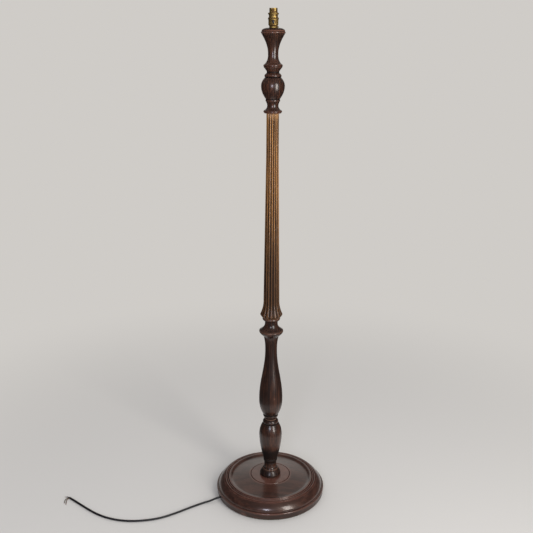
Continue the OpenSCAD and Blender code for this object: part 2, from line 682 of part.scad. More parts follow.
module holder_body() {
    color(aged_brass) difference() {
        turned(concat(
            [[neck_r - 0.3, holder_z], [neck_r, holder_z + 0.5], [neck_r, holder_z + 4.6]],
            arrive_upright([neck_r + 0.3, holder_z + 5], [body_r, shoulder_z], 1.6, 6),
            [[body_r, shoulder_z], [body_r, block_z]]));
        bore(holder_z, cavity_z, nipple_d + 0.1);
        translate([0, 0, cavity_z])
            cylinder(h = shoulder_z - cavity_z + 0.01, r1 = cavity_r - 4, r2 = cavity_r);
        bore(shoulder_z + eps, block_z, 2 * cavity_r);
        translate([0, 0, bar_z]) slot_bar(bar_w + 2 * run_gap, bar_h + 2 * run_gap, -2 * body_r, 2 * body_r);
        translate([nipple_d / 2, 0, lock_z]) rotate([0, 90, 0]) cylinder(h = body_r, d = lock_d + 0.1);
        rotate([0, 0, earth_azimuth]) translate([cavity_r / 2, 0, earth_z]) rotate([0, 90, 0])
            cylinder(h = body_r, d = earth_d + 0.1);
    }
}

module locking_screw() {
    head_d = 4.2;
    head_h = 3.4;
    start = nipple_d / 2 + 0.1;
    color(aged_brass) translate([0, 0, lock_z]) rotate([0, 90, 0]) difference() {
        union() {
            translate([0, 0, start]) cylinder(h = neck_r + 0.6 - start, d = lock_d);
            translate([0, 0, neck_r + 0.1]) cylinder(h = head_h, d = head_d);
        }
        translate([-head_d, -0.4, neck_r + head_h - 0.8]) cube([2 * head_d, 0.8, 2]);
    }
}

earth_d = 2.5;

module earth_screw() {
    color(aged_brass) rotate([0, 0, earth_azimuth]) translate([0, 0, earth_z]) rotate([0, 90, 0]) {
        translate([0, 0, cavity_r - 2.3]) cylinder(h = 2, d = 4.2);
        translate([0, 0, cavity_r - 0.4]) cylinder(h = body_wall + 0.2, d = earth_d);
    }
}

post_x = 9.2;                    // distance of a terminal post from the axis
post_d = 3.8;
post_drop = 6;                   // how far a post hangs below the block
post_hole_h = 4;
post_seat_h = 1;                 // length of a post inside the block

// Cores inside the lampholder, from the end of the sheath to a post or the earth screw.
wire_d = core_d - 0.2;
wire_z = sheath_top + 0.3;
wire_turn_z = cavity_z + 1.9;

module post_wire(side) {
    post_z = block_z - post_drop;
    tube_along(smooth([
        [side * 1.2, -0.6, wire_z], [side * 1.5, -0.6, wire_z + 1.2], [side * 2.6, -0.6, wire_turn_z - 0.6],
        [side * 4.2, -0.6, wire_turn_z], [side * (post_x - 3.2), -0.6, wire_turn_z + 0.4],
        [side * (post_x - 1.7), -0.5, wire_turn_z + 2], [side * (post_x - 0.7), -0.2, post_z - 4],
        [side * (post_x - 0.1), 0, post_z - 1.5], [side * post_x, 0, post_z + 1]], 2), wire_d, 8);
}
module wire_brown() { color(brown_core) post_wire(1); }
module wire_blue() { color(blue_core) post_wire(-1); }

module wire_earth() {
    end_r = cavity_r - 3.05;
    color(earth_core) tube_along(smooth([
        [0, 1.5, wire_z], [-0.3, 1.8, wire_z + 1.5], [-2.5, 3.4, wire_turn_z], [-5.5, 5.4, wire_turn_z + 1.6],
        [end_r * cos(earth_azimuth), end_r * sin(earth_azimuth), earth_z]], 2), wire_d, 8);
}

spring_z = block_z + 2;          // seat of the plunger springs
spring_h = 6;
spring_wire_d = 0.4;
plunger_bore_d = 5;
plunger_tip_d = 4;
collar_h = 2.3;                  // height of a plunger's collar
plunger_len = 12.9;

module plunger_places(side) {
    translate([side * plunger_pitch / 2, 0, 0]) children();
}

module terminal_block() {
    stop_z = spring_z + spring_h + collar_h;
    color("#e6dfcf") difference() {
        union() {
            translate([0, 0, block_z]) cylinder(h = block_flange_h, r = body_r - 0.2);
            translate([0, 0, block_z - block_boss_h]) cylinder(h = block_boss_h + 1, r = cavity_r - 0.3);
            translate([0, 0, block_z]) cylinder(h = block_top - block_z, d = barrel_bore_d - 0.2);
        }
        for (side = [-1, 1]) {
            plunger_places(side) {
                translate([0, 0, spring_z]) cylinder(h = stop_z - spring_z, d = plunger_bore_d);
                bore(stop_z, block_top, plunger_tip_d + 2 * run_gap);
            }
            translate([side * post_x, 0, block_z - block_boss_h - eps])
                cylinder(h = block_boss_h + post_seat_h + eps, d = post_d + 0.1);
        }
    }
}

module terminal_posts() {
    color(aged_brass) for (side = [-1, 1]) translate([side * post_x, 0, block_z - post_drop]) difference() {
        cylinder(h = post_drop + post_seat_h, d = post_d);
        translate([0, 0, -eps]) cylinder(h = post_hole_h + eps, d = core_d);
        translate([0, 0, post_hole_h - 1]) rotate([0, side * 90, 0]) cylinder(h = post_d, d = 1.7);
    }
}

module terminal_screws() {
    color(steel) for (side = [-1, 1])
        translate([side * post_x, 0, block_z - post_drop + post_hole_h - 1]) rotate([0, side * 90, 0]) {
            translate([0, 0, core_d / 2]) cylinder(h = (post_d - core_d) / 2 + 0.6, d = 1.6);
            translate([0, 0, post_d / 2 + 0.1]) cylinder(h = 1.2, d = 2.8);
        }
}

module plunger(side) {
    tip_z = spring_z + spring_h + collar_h;
    tip_end = spring_z + spring_h + plunger_len - plunger_tip_d / 2;
    color(aged_brass) plunger_places(side) {
        translate([0, 0, spring_z + spring_h]) cylinder(h = collar_h, d = plunger_bore_d - 2 * run_gap);
        translate([0, 0, tip_z]) cylinder(h = tip_end - tip_z, d = plunger_tip_d);
        translate([0, 0, tip_end]) sphere(d = plunger_tip_d);
    }
}
module plunger_left() { plunger(-1); }
module plunger_right() { plunger(1); }

// A coil spring that stands on the seat and carries a plunger.
module plunger_spring(side) {
    turns = 4;
    per_turn = 14;
    coil_r = plunger_bore_d / 2 - 0.15 - spring_wire_d / 2;
    lift = spring_h - spring_wire_d;
    path = [for (i = [0:turns * per_turn]) let(a = 360 * i / per_turn)
        [coil_r * cos(a), coil_r * sin(a), spring_z + spring_wire_d / 2 + lift * i / (turns * per_turn)]];
    color(steel) plunger_places(side) tube_along(path, spring_wire_d - 0.02, 8);
}
module plunger_spring_left() { plunger_spring(-1); }
module plunger_spring_right() { plunger_spring(1); }

slot_azimuth = -117;             // direction of the first bayonet slot
slot_w = 3;
slot_depth = 8;
slot_turn = 20;                  // how far a slot runs round to its seat
slot_seat = 1.2;                 // how far a bulb's pin springs back up in its seat
grip_z = spring_z + spring_h + plunger_len + 0.1; // the barrel's gauged bore starts here

module barrel() {
    outer_r = sleeve_d / 2;
    color(aged_brass) difference() {
        union() {
            translate([0, 0, barrel_z]) cylinder(h = barrel_flange_h, r = body_r - 0.1);
            translate([0, 0, barrel_z]) cylinder(h = seat_top - barrel_z, d = shade_seat_d);
            translate([0, 0, barrel_z]) cylinder(h = barrel_top - barrel_z, d = sleeve_d);
        }
        bore(barrel_z, barrel_top, barrel_bore_d);
        bore(barrel_z, grip_z - eps, barrel_bore_d + 0.4);
        for (turn = [0, 180]) rotate([0, 0, slot_azimuth + turn]) {
            translate([0, -slot_w / 2, barrel_top - slot_depth]) cube([outer_r + 1, slot_w, slot_depth + 1]);
            rotate([0, 0, -slot_turn]) rotate_extrude(angle = slot_turn)
                translate([outer_r - 3, barrel_top - slot_depth]) square([4, slot_w]);
            rotate([0, 0, -slot_turn]) translate([0, -slot_w / 2, barrel_top - slot_depth])
                cube([outer_r + 1, slot_w, slot_w + slot_seat]);
        }
    }
}

// A ring with stepped edges between two heights.
module edged_ring(z0, z1, d) {
    translate([0, 0, z0 + ring_edge]) cylinder(h = z1 - z0 - 2 * ring_edge, d = d);
    translate([0, 0, z0]) cylinder(h = z1 - z0, d = d - 2 * ring_edge);
}

module clamp_ring() {
    skirt_z = block_z - 0.5;
    color(aged_brass) difference() {
        edged_ring(skirt_z, clamp_top, body_d + 2.4);
        bore(skirt_z, barrel_z + barrel_flange_h - eps, body_d + 0.1);
        bore(barrel_z, clamp_top, shade_seat_d + 0.1);
    }
}

module shade_ring() {
    color(aged_brass) difference() {
        edged_ring(shade_ring_top - shade_ring_h, shade_ring_top, shade_ring_d);
        bore(shade_ring_top - shade_ring_h, shade_ring_top, shade_seat_d + 2 * run_gap);
    }
}

// ---------------------------------------------------------------- switch
bar_z = block_z - 1.8 - bar_h / 2;              // height of the bar's middle
bar_top = bar_z + bar_h / 2;
lug_d = 2;                                      // stop lugs that keep the bar in the body
lug_reach = bar_w / 2 + 1.3;
lug_y = sqrt(cavity_r * cavity_r - lug_reach * lug_reach) - lug_d / 2 - 0.05;
bridge_l = 8;                                   // length of the bridge along the bar
bridge_w = 4;
bridge_h = 1.2;
bridge_seat_z = bar_top - 1;

module switch_bar() {
    color(bakelite) difference() {
        union() {
            translate([0, 0, bar_z]) slot_bar(bar_w, bar_h, -body_r - bar_proud, body_r + 0.5);
            for (y = [-lug_y, lug_y - bar_travel]) translate([-lug_reach, y, bar_z])
                rotate([0, 90, 0]) cylinder(h = 2 * lug_reach, d = lug_d);
        }
        translate([-bar_w, -bridge_l / 2 - 0.05, bridge_seat_z]) cube([2 * bar_w, bridge_l + 0.1, bar_h]);
    }
}

module switch_bridge() {
    color(copper) translate([-bridge_w / 2, -bridge_l / 2, bridge_seat_z])
        cube([bridge_w, bridge_l, bridge_h]);
}

// Two fixed contacts that the bridge joins when the bar is pushed in.
module switch_contacts() {
    z = bridge_seat_z + bridge_h + 0.02;
    color(copper) for (side = [-1, 1]) translate([side * 1.3 - 0.6, bridge_l / 2 + 0.5, z])
        cube([1.2, bar_travel - 1, block_z - block_boss_h - z]);
}

base_disc();
base_baize();
base_screws();
flex_clip();
flex_clip_screws();
foot_column();
baluster();
fluted_column();
capital();
flex_inner();
flex_free();
core_brown();
core_blue();
core_earth();
nipple();
holder_body();
locking_screw();
wire_brown();
wire_blue();
wire_earth();
earth_screw();
terminal_block();
terminal_posts();
terminal_screws();
plunger_left();
plunger_right();
plunger_spring_left();
plunger_spring_right();
barrel();
clamp_ring();
shade_ring();
switch_bar();
switch_bridge();
switch_contacts();
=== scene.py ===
"""A candlestick floor lamp of turned hardwood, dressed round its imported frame.

Lengths inside the classes are in millimetres, as a turner would mark them, and become
metres where a mesh or a curve is made. The lamp's axis is x = y = 0, the floor is z = 0
and the front is -Y.
"""

from __future__ import annotations

import logging
import math
from dataclasses import dataclass
from enum import Enum
from typing import Callable, Sequence, Union

import bmesh
import bpy
from mathutils import Matrix, Vector

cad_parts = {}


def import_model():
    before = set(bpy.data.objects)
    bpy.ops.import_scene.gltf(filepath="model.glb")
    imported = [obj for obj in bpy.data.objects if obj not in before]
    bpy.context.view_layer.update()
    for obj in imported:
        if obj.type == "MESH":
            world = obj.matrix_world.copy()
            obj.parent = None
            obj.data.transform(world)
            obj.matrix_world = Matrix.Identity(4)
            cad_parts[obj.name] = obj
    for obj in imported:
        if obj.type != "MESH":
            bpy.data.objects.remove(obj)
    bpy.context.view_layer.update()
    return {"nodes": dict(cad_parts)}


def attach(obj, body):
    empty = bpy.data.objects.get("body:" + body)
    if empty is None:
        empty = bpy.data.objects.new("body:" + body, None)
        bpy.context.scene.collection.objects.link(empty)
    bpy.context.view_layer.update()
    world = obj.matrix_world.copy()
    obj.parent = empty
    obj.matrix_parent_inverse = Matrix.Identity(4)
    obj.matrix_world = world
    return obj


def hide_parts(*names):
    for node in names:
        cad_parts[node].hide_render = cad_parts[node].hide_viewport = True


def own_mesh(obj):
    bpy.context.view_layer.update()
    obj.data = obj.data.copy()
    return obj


log = logging.getLogger("floor_lamp")

MM = 0.001
SAME = 1e-6  # lengths below this count as none
FLEX_EXIT_ANGLE = 203.0  # degrees from +X to the hole in the plinth
FLEX_EXIT_Z = 13.0  # height of the middle of that hole
COLUMN_BORE_R = 5.0
COLUMN_STEPS = 160  # steps round the plain turned sections of the column

Point2 = tuple[float, float]
Outline = list[Point2]
Colour = tuple[float, float, float]
Piece = bpy.types.Object
Socket = bpy.types.NodeSocket
Feed = Union[bpy.types.Node, Socket, float, int, bool, tuple, str, bpy.types.Material]
Feeds = dict[Union[str, int], Feed]
Takes = dict[str, tuple[str, object]]


class Grain(Enum):
    """Which way the wood's fibres run."""

    UP = "up"
    ACROSS = "across"


class Body(Enum):
    """The rigid bodies of the frame that the scene's own pieces ride on."""

    STANDARD = "standard"
    SHADE_RING = "shade_ring"
    SWITCH = "switch"


# ------------------------------------------------------------------ turned outlines
FINE = 20  # steps in a curve, where none are given
SHARP = math.radians(20)  # corners that turn more than this are rounded
ARRIS_WIDTH = 2.2  # length over which rubbing and painted highlight are felt round an outer corner
FELT_FROM = 0.25  # turns up to this many radians take no wear, grime, painted highlight or painted shade
SPOT_REACH = 2.5  # radii out to which a worn spot is felt
CLEARED_SHARE = 0.1  # share of the grime and painted shade in the creases that clearing leaves


def leave_upright(a: Point2, b: Point2, p: float, n: int = FINE) -> Outline:
    """Leaves a upright and bends away to b.

    Args:
        a: Start of the moulding, as radius and height.
        b: End of the moulding, which the next one starts from.
        p: How long the curve stays full.
        n: Number of steps.

    Returns:
        The points from a up to, but not including, b.
    """
    return [
        (b[0] + (a[0] - b[0]) * (1 - (i / n) ** p), b[1] + (a[1] - b[1]) * (1 - i / n))
        for i in range(n)
    ]


def arrive_upright(a: Point2, b: Point2, p: float, n: int = FINE) -> Outline:
    """Leaves a at once and arrives at b upright.

    Args:
        a: Start of the moulding.
        b: End of the moulding.
        p: How early the curve turns upright.
        n: Number of steps.

    Returns:
        The points from a up to, but not including, b.
    """
    return [
        (a[0] + (b[0] - a[0]) * (1 - (1 - i / n) ** p), a[1] + (b[1] - a[1]) * i / n)
        for i in range(n)
    ]


def sway(a: Point2, b: Point2, n: int = 2 * FINE) -> Outline:
    """An S curve from a to b, upright at both ends."""
    return [
        (
            a[0] + (b[0] - a[0]) * (1 - math.cos(math.pi * i / n)) / 2,
            a[1] + (b[1] - a[1]) * i / n,
        )
        for i in range(n)
    ]


def quarter_up(a: Point2, b: Point2, n: int = FINE) -> Outline:
    """A quarter round that leaves a upright and arrives level at b."""
    turns = [math.pi / 2 * i / n for i in range(n)]
    return [
        (a[0] + (b[0] - a[0]) * (1 - math.cos(t)), a[1] + (b[1] - a[1]) * math.sin(t))
        for t in turns
    ]


def quarter_out(a: Point2, b: Point2, n: int = 8) -> Outline:
    """A quarter round that leaves a level and arrives upright at b."""
    turns = [math.pi / 2 * i / n for i in range(n)]
    return [
        (a[0] + (b[0] - a[0]) * math.sin(t), a[1] + (b[1] - a[1]) * (1 - math.cos(t)))
        for t in turns
    ]


def bead(a: Point2, b: Point2, proud: float, n: int = FINE) -> Outline:
    """A bead on a column that bulges out by proud between a and b."""
    return [
        (
            a[0] + (b[0] - a[0]) * i / n + proud * math.sin(math.pi * i / n),
            a[1] + (b[1] - a[1]) * i / n,
        )
        for i in range(n)
    ]


def flat_bead(a: Point2, b: Point2, high: float, n: int = FINE) -> Outline:
    """A bead on a flat top, high above the line from a in to b."""
    return [
        (
            a[0] + (b[0] - a[0]) * i / n,
            a[1] + (b[1] - a[1]) * i / n + high * math.sin(math.pi * i / n),
        )
        for i in range(n)
    ]


def rule(a: Point2, b: Point2, n: int) -> Outline:
    """A straight run from a towards b in n steps."""
    return [(a[0] + (b[0] - a[0]) * i / n, a[1] + (b[1] - a[1]) * i / n) for i in range(n)]


def soften(loop: Outline, reach: float) -> Outline:
    """Rounds the arrises of a closed outline, as sanding and polish do.

    Args:
        loop: The closed outline.
        reach: How far from a corner the rounding may start.

    Returns:
        The outline with each sharp corner drawn as a small curve.
    """
    out: Outline = []
    count = len(loop)
    for i, here in enumerate(loop):
        p, before, after = Vector(here), Vector(loop[i - 1]), Vector(loop[(i + 1) % count])
        inward, outward = p - before, after - p
        if inward.length < SAME or outward.length < SAME:
            continue
        if inward.angle(outward) < SHARP:
            out.append(here)
            continue
        a = p - inward.normalized() * min(reach, 0.45 * inward.length)
        b = p + outward.normalized() * min(reach, 0.45 * outward.length)
        for t in (0.0, 0.33, 0.67, 1.0):
            q = a * (1 - t) ** 2 + p * (2 * t * (1 - t)) + b * t**2
            out.append((q.x, q.y))
    return out


def bends(loop: Outline, width: float, sign: int) -> list[float]:
    """How strongly a closed outline turns near each of its points.

    Args:
        loop: The closed outline, wood on its left.
        width: Length over which a turn is felt.
        sign: 1 for outer corners, -1 for inner ones.

    Returns:
        One value a point, from 0 on a straight to 1 on a sharp corner.
    """
    count = len(loop)
    pts = [Vector(p) for p in loop]
    steps = [(pts[(i + 1) % count] - pts[i]) for i in range(count)]
    turns = []
    for i in range(count):
        a, b = steps[i - 1], steps[i]
        angle = math.atan2(a.x * b.y - a.y * b.x, a.dot(b))
        turns.append(max(0.0, sign * angle))
    felt = []
    for i in range(count):
        total = turns[i]
        for way in (1, -1):
            far, j = 0.0, i
            while True:
                far += (steps[j] if way == 1 else steps[j - 1]).length
                j = (j + way) % count
                if far > width or j == i:
                    break
                total += turns[j] * (1 - far / width)
        felt.append(min(1.0, max(0.0, (total - FELT_FROM) / (1 - FELT_FROM))))
    return felt


def bored(socket: Point2, top: float, bore_r: float, spigot: Point2, foot: float) -> Outline:
    """The inner outline of a section, from its top down.

    Args:
        socket: Radius and depth of the socket in its top.
        top: Height of its top.
        bore_r: Radius of the bore for the flex.
        spigot: Radius and length of the spigot, or of the tenon, below its foot.
        foot: Height of its foot.

    Returns:
        The points that close the outer outline.
    """
    ceiling, end = top - socket[1], foot - spigot[1]
    return [
        (socket[0], top), (socket[0], ceiling), (bore_r, ceiling),
        (bore_r, end), (spigot[0], end), (spigot[0], foot),
    ]


# ------------------------------------------------------------------ meshes
def mesh_object(name: str, mesh: bpy.types.Mesh) -> Piece:
    """Puts a mesh into the scene as an object at the origin."""
    piece = bpy.data.objects.new(name, mesh)
    bpy.context.scene.collection.objects.link(piece)
    return piece


def shade(mesh: bpy.types.Mesh, crisp: float = 38.0) -> None:
    """Shades a mesh smooth, with sharp edges above the angle crisp in degrees."""
    mesh.polygons.foreach_set("use_smooth", [True] * len(mesh.polygons))
    mesh.set_sharp_from_angle(angle=math.radians(crisp))


def lathe(name: str, loop: Outline, segments: int, reach: float = 0.4, grime_and_shade: float = 4.0) -> Piece:
    """Turns a closed outline about the lamp's axis.

    Args:
        name: Name of the piece.
        loop: Closed outline in millimetres, wood on its left, clear of the axis.
        segments: Number of steps round the axis.
        reach: Rounding of the outline's corners.
        grime_and_shade: How far grime and painted shade spread from an inner corner.

    Returns:
        The turned piece, with the attributes arris and crease on its points.
    """
    outline = soften(loop, reach)
    arris, crease = bends(outline, ARRIS_WIDTH, 1), bends(outline, grime_and_shade, -1)
    count = len(outline)
    verts, faces = [], []
    for k in range(segments):
        c, s = math.cos(math.tau * k / segments), math.sin(math.tau * k / segments)
        verts += [(r * c * MM, r * s * MM, z * MM) for r, z in outline]
    for k in range(segments):
        here, there = k * count, (k + 1) % segments * count
        for i in range(count):
            j = (i + 1) % count
            faces.append((here + i, there + i, there + j, here + j))
    mesh = bpy.data.meshes.new(name)
    mesh.from_pydata(verts, [], faces)
    for key, values in (("arris", arris), ("crease", crease)):
        mesh.attributes.new(key, "FLOAT", "POINT").data.foreach_set("value", values * segments)
    shade(mesh)
    return mesh_object(name, mesh)


def worn_at(piece: Piece, place: Sequence[float], size: float, amount: float) -> None:
    """Adds a worn spot to a piece's arris attribute.

    Args:
        piece: The piece that is worn.
        place: Middle of the spot in millimetres.
        size: Radius of the spot in millimetres.
        amount: How worn its middle is.
    """
    middle = Vector(place) * MM
    data = piece.data.attributes["arris"].data
    for vertex in piece.data.vertices:
        near = (vertex.co - middle).length / (size * MM)
        if near < SPOT_REACH:
            data[vertex.index].value = min(1.0, data[vertex.index].value + amount * math.exp(-near * near))


def paint_shade_band(piece: Piece, span: Point2, amount: float) -> None:
    """Paints shade onto a piece between two heights in millimetres, by adding to its crease attribute.

    Args:
        piece: The piece.
        span: The lowest and highest point of the dark part.
        amount: How dark its middle is.
    """
    middle, half = (span[0] + span[1]) / 2, (span[1] - span[0]) / 2
    data = piece.data.attributes["crease"].data
    for vertex in piece.data.vertices:
        near = abs(vertex.co.z / MM - middle) / half
        if near < 1.0:
            felt = amount * (1 - near**4)
            data[vertex.index].value = min(1.0, data[vertex.index].value + felt)


def cleared_below(piece: Piece, below: float) -> None:
    """Takes the grime and painted shade out of a piece's creases below a height in millimetres."""
    data = piece.data.attributes["crease"].data
    for vertex in piece.data.vertices:
        if vertex.co.z < below * MM:
            data[vertex.index].value *= CLEARED_SHARE


def block(lo: Sequence[float], hi: Sequence[float]) -> bpy.types.Mesh:
    """A box between two corners in millimetres, for cutting with."""
    mesh = bpy.data.meshes.new("cutter")
    bm = bmesh.new()
    bmesh.ops.create_cube(bm, size=1.0)
    middle = [(a + b) / 2 * MM for a, b in zip(lo, hi)]
    size = [(b - a) * MM for a, b in zip(lo, hi)]
    bm.transform(Matrix.Translation(middle) @ Matrix.Diagonal((*size, 1.0)))
    bm.to_mesh(mesh)
    bm.free()
    return mesh


def rod(d: float, length: float, place: Matrix, sides: int = 48) -> bpy.types.Mesh:
    """A round bar along +Z of a place, in millimetres, for cutting with."""
    mesh = bpy.data.meshes.new("cutter")
    bm = bmesh.new()
    bmesh.ops.create_cone(
        bm, cap_ends=True, segments=sides, radius1=d / 2 * MM, radius2=d / 2 * MM, depth=length * MM
    )
    bm.transform(place @ Matrix.Translation((0, 0, length / 2 * MM)))
    bm.to_mesh(mesh)
    bm.free()
    return mesh


def place(x: float, y: float, z: float, turn: Matrix = Matrix.Identity(4)) -> Matrix:
    """A place in millimetres with a turn, as a matrix in metres."""
    return Matrix.Translation((x * MM, y * MM, z * MM)) @ turn


def plain(piece: Piece) -> Piece:
    """Turns a piece's modifiers into its own plain mesh."""
    graph = bpy.context.evaluated_depsgraph_get()
    baked = bpy.data.meshes.new_from_object(piece.evaluated_get(graph))
    piece.modifiers.clear()
    piece.data = baked
    return piece


def cut(piece: Piece, cutters: Sequence[bpy.types.Mesh], crisp: float = 38.0) -> None:
    """Cuts a piece with closed meshes.

    Args:
        piece: The piece to cut.
        cutters: Closed meshes in place.
        crisp: Angle in degrees above which its edges stay sharp.
    """
    tools = [mesh_object("cutter", mesh) for mesh in cutters]
    for tool in tools:
        knife = piece.modifiers.new("cut", "BOOLEAN")
        knife.operation, knife.solver, knife.object = "DIFFERENCE", "EXACT", tool
    plain(piece)
    for tool in tools:
        bpy.data.objects.remove(tool)
    shade(piece.data, crisp)


def smooth_route(points: Sequence[Sequence[float]], pieces: int) -> list[Vector]:
    """A smooth curve through points, in millimetres.

    Args:
        points: The points that it passes through.
        pieces: Number of steps between each two.

    Returns:
        The curve's points, its two ends included.
    """
    p = [Vector(q) for q in points]
    last = len(p) - 1
    out = []
    for i in range(last):
        a, b, c, d = p[max(0, i - 1)], p[i], p[i + 1], p[min(last, i + 2)]
        for k in range(pieces):
            t = k / pieces
            out.append(
                0.5
                * (
                    2 * b
                    + (c - a) * t
                    + (2 * a - 5 * b + 4 * c - d) * t**2
                    + (3 * b - a - 3 * c + d) * t**3
                )
            )
    return out + [p[last]]


def laid_curve(name: str, route: Sequence[Vector], d: float, resolution: int = 5) -> Piece:
    """A round cord along a route in millimetres, as a curve of one open spline."""
    curve = bpy.data.curves.new(name, "CURVE")
    curve.dimensions = "3D"
    curve.bevel_depth = d / 2 * MM
    curve.bevel_resolution = resolution
    curve.use_fill_caps = True
    spline = curve.splines.new("POLY")
    spline.points.add(len(route) - 1)
    for point, q in zip(spline.points, route):
        point.co = (q.x * MM, q.y * MM, q.z * MM, 1.0)
    piece = bpy.data.objects.new(name, curve)
    bpy.context.scene.collection.objects.link(piece)
    return piece


# ------------------------------------------------------------------ node trees
class Graph:
    """A node tree while it is being built."""

    def __init__(self, tree: bpy.types.NodeTree) -> None:
        """Keeps the tree that nodes are added to."""
        self.tree = tree

    def feed(self, socket: Socket, value: Feed) -> None:
        """Links or sets one input.

        Args:
            socket: The input.
            value: A node, whose first output is taken, an output socket or a plain value.
        """
        if isinstance(value, bpy.types.Node):
            value = next(s for s in value.outputs if s.enabled)
        if isinstance(value, Socket):
            self.tree.links.new(value, socket)
        else:
            socket.default_value = value

    def node(self, kind: str, feeds: Feeds | None = None, **settings: object) -> bpy.types.Node:
        """Adds a node.

        Args:
            kind: Type of the node.
            feeds: What its inputs take, by their names or numbers.
            **settings: Its own settings.

        Returns:
            The new node.
        """
        made = self.tree.nodes.new(kind)
        for key, value in settings.items():
            setattr(made, key, value)
        for key, value in (feeds or {}).items():
            self.feed(made.inputs[key], value)
        return made

    def math(self, operation: str, *values: Feed, clamp: bool = False) -> Socket:
        """Adds a Math node and returns its output."""
        made = self.node("ShaderNodeMath", dict(enumerate(values)), operation=operation, use_clamp=clamp)
        return made.outputs[0]

    def times(self, a: Feed, b: Feed, clamp: bool = False) -> Socket:
        """Multiplies a by b."""
        return self.math("MULTIPLY", a, b, clamp=clamp)

    def plus(self, a: Feed, b: Feed, clamp: bool = False) -> Socket:
        """Adds b to a."""
        return self.math("ADD", a, b, clamp=clamp)

    def minus(self, a: Feed, b: Feed, clamp: bool = False) -> Socket:
        """Takes b from a."""
        return self.math("SUBTRACT", a, b, clamp=clamp)

    def larger(self, a: Feed, b: Feed) -> Socket:
        """The larger of a and b."""
        return self.math("MAXIMUM", a, b)

    def ramp(self, value: Feed, lo: float, hi: float, to: Point2 = (0.0, 1.0)) -> Socket:
        """Maps value smoothly from lo..hi to the range to, and stops there."""
        made = self.node(
            "ShaderNodeMapRange",
            {"Value": value, "From Min": lo, "From Max": hi, "To Min": to[0], "To Max": to[1]},
            interpolation_type="SMOOTHSTEP",
        )
        return made.outputs[0]

    def mix(self, share: Feed, a: Feed, b: Feed, blend: str = "MIX") -> Socket:
        """Mixes two colours and returns the result."""
        made = self.node("ShaderNodeMix", data_type="RGBA", blend_type=blend, clamp_factor=True)
        for socket, value in zip((made.inputs[0], made.inputs[6], made.inputs[7]), (share, a, b)):
            self.feed(socket, (*value, 1.0) if isinstance(value, tuple) and len(value) == 3 else value)
        return made.outputs[2]

    def noise(self, vector: Feed, scale: float, detail: float = 3.0, rough: float = 0.5) -> Socket:
        """Adds a Noise texture and returns its value."""
        made = self.node(
            "ShaderNodeTexNoise", {"Vector": vector, "Scale": scale, "Detail": detail, "Roughness": rough}
        )
        return made.outputs[0]

    def attribute(self, name: str) -> Socket:
        """Reads a number that the mesh carries."""
        return self.node("ShaderNodeAttribute", attribute_name=name).outputs["Fac"]


def group(
    name: str, takes: Takes, gives: dict[str, str], kind: str = "ShaderNodeTree"
) -> tuple[Graph, bpy.types.Node, bpy.types.Node]:
    """Starts a node group with named sockets.

    Args:
        name: Name of the group.
        takes: Inputs, each a socket type and what it holds at first.
        gives: Outputs, each a socket type.
        kind: ShaderNodeTree or GeometryNodeTree.

    Returns:
        The graph with its input and output nodes.
    """
    tree = bpy.data.node_groups.new(name, kind)
    for key, (socket, value) in takes.items():
        made = tree.interface.new_socket(key, in_out="INPUT", socket_type=socket)
        if value is not None:
            made.default_value = value
    for key, socket in gives.items():
        tree.interface.new_socket(key, in_out="OUTPUT", socket_type=socket)
    graph = Graph(tree)
    return graph, graph.node("NodeGroupInput"), graph.node("NodeGroupOutput")


FLOAT, VECTOR, COLOUR, INT = "NodeSocketFloat", "NodeSocketVector", "NodeSocketColor", "NodeSocketInt"


def wood_figure_group() -> bpy.types.NodeTree:
    """Grain of a turned hardwood: slow figure, growth lines, fibres and pores, along Z."""
    g, i, o = group(
        "wood_figure",
        {"Vector": (VECTOR, None), "Lines": (FLOAT, 150.0), "Waver": (FLOAT, 2.5)},
        {"Figure": FLOAT, "Fibre": FLOAT, "Pores": FLOAT, "Height": FLOAT},
    )

    def stretched(share: float) -> Socket:
        """The place, with its height drawn out."""
        drawn = g.node("ShaderNodeVectorMath", {0: i.outputs[0], 1: (1, 1, share)}, operation="MULTIPLY")
        return drawn.outputs[0]

    slow = g.noise(stretched(0.1), 30.0, 3.0, 0.5)
    apart = g.node("ShaderNodeSeparateXYZ", {0: i.outputs[0]})
    across = g.plus(g.times(apart.outputs[0], i.outputs["Lines"]), g.times(slow, i.outputs["Waver"]))
    lines = g.math("SINE", g.times(across, math.tau))
    streaks = g.noise(stretched(0.02), 170.0, 3.0, 0.5)
    figure = g.plus(g.times(slow, 0.6), g.times(streaks, 0.5))
    figure = g.plus(figure, g.times(lines, 0.05))
    fibre = g.noise(stretched(0.02), 600.0, 2.0, 0.5)
    pores = g.ramp(g.noise(stretched(0.04), 1500.0, 2.0), 0.6, 0.7)
    g.feed(o.inputs["Figure"], g.ramp(figure, 0.42, 0.68))
    g.feed(o.inputs["Fibre"], fibre)
    g.feed(o.inputs["Pores"], pores)
    g.feed(o.inputs["Height"], g.minus(g.times(fibre, 0.6), g.times(pores, 0.5)))
    return g.tree


def edge_wear_group() -> bpy.types.NodeTree:
    """Rubbed arrises with painted highlight, and grime with painted shade in the creases, from what the
    piece's points carry.
    """
    g, i, o = group(
        "edge_wear",
        {"Vector": (VECTOR, None), "Scale": (FLOAT, 60.0), "Break": (FLOAT, 0.6)},
        {"WearAndSheen": FLOAT, "GrimeAndShade": FLOAT},
    )
    patch = g.noise(i.outputs[0], 1.0, 5.0, 0.6)
    g.feed(patch.node.inputs["Scale"], i.outputs["Scale"])
    spread = g.times(g.minus(patch, 0.5), g.times(i.outputs["Break"], 2.0))
    wear_and_sheen = g.times(g.attribute("arris"), g.plus(0.8, spread), clamp=True)
    grime_and_shade = g.times(g.attribute("crease"), g.plus(1.0, spread), clamp=True)
    g.feed(o.inputs["WearAndSheen"], wear_and_sheen)
    g.feed(o.inputs["GrimeAndShade"], grime_and_shade)
    return g.tree


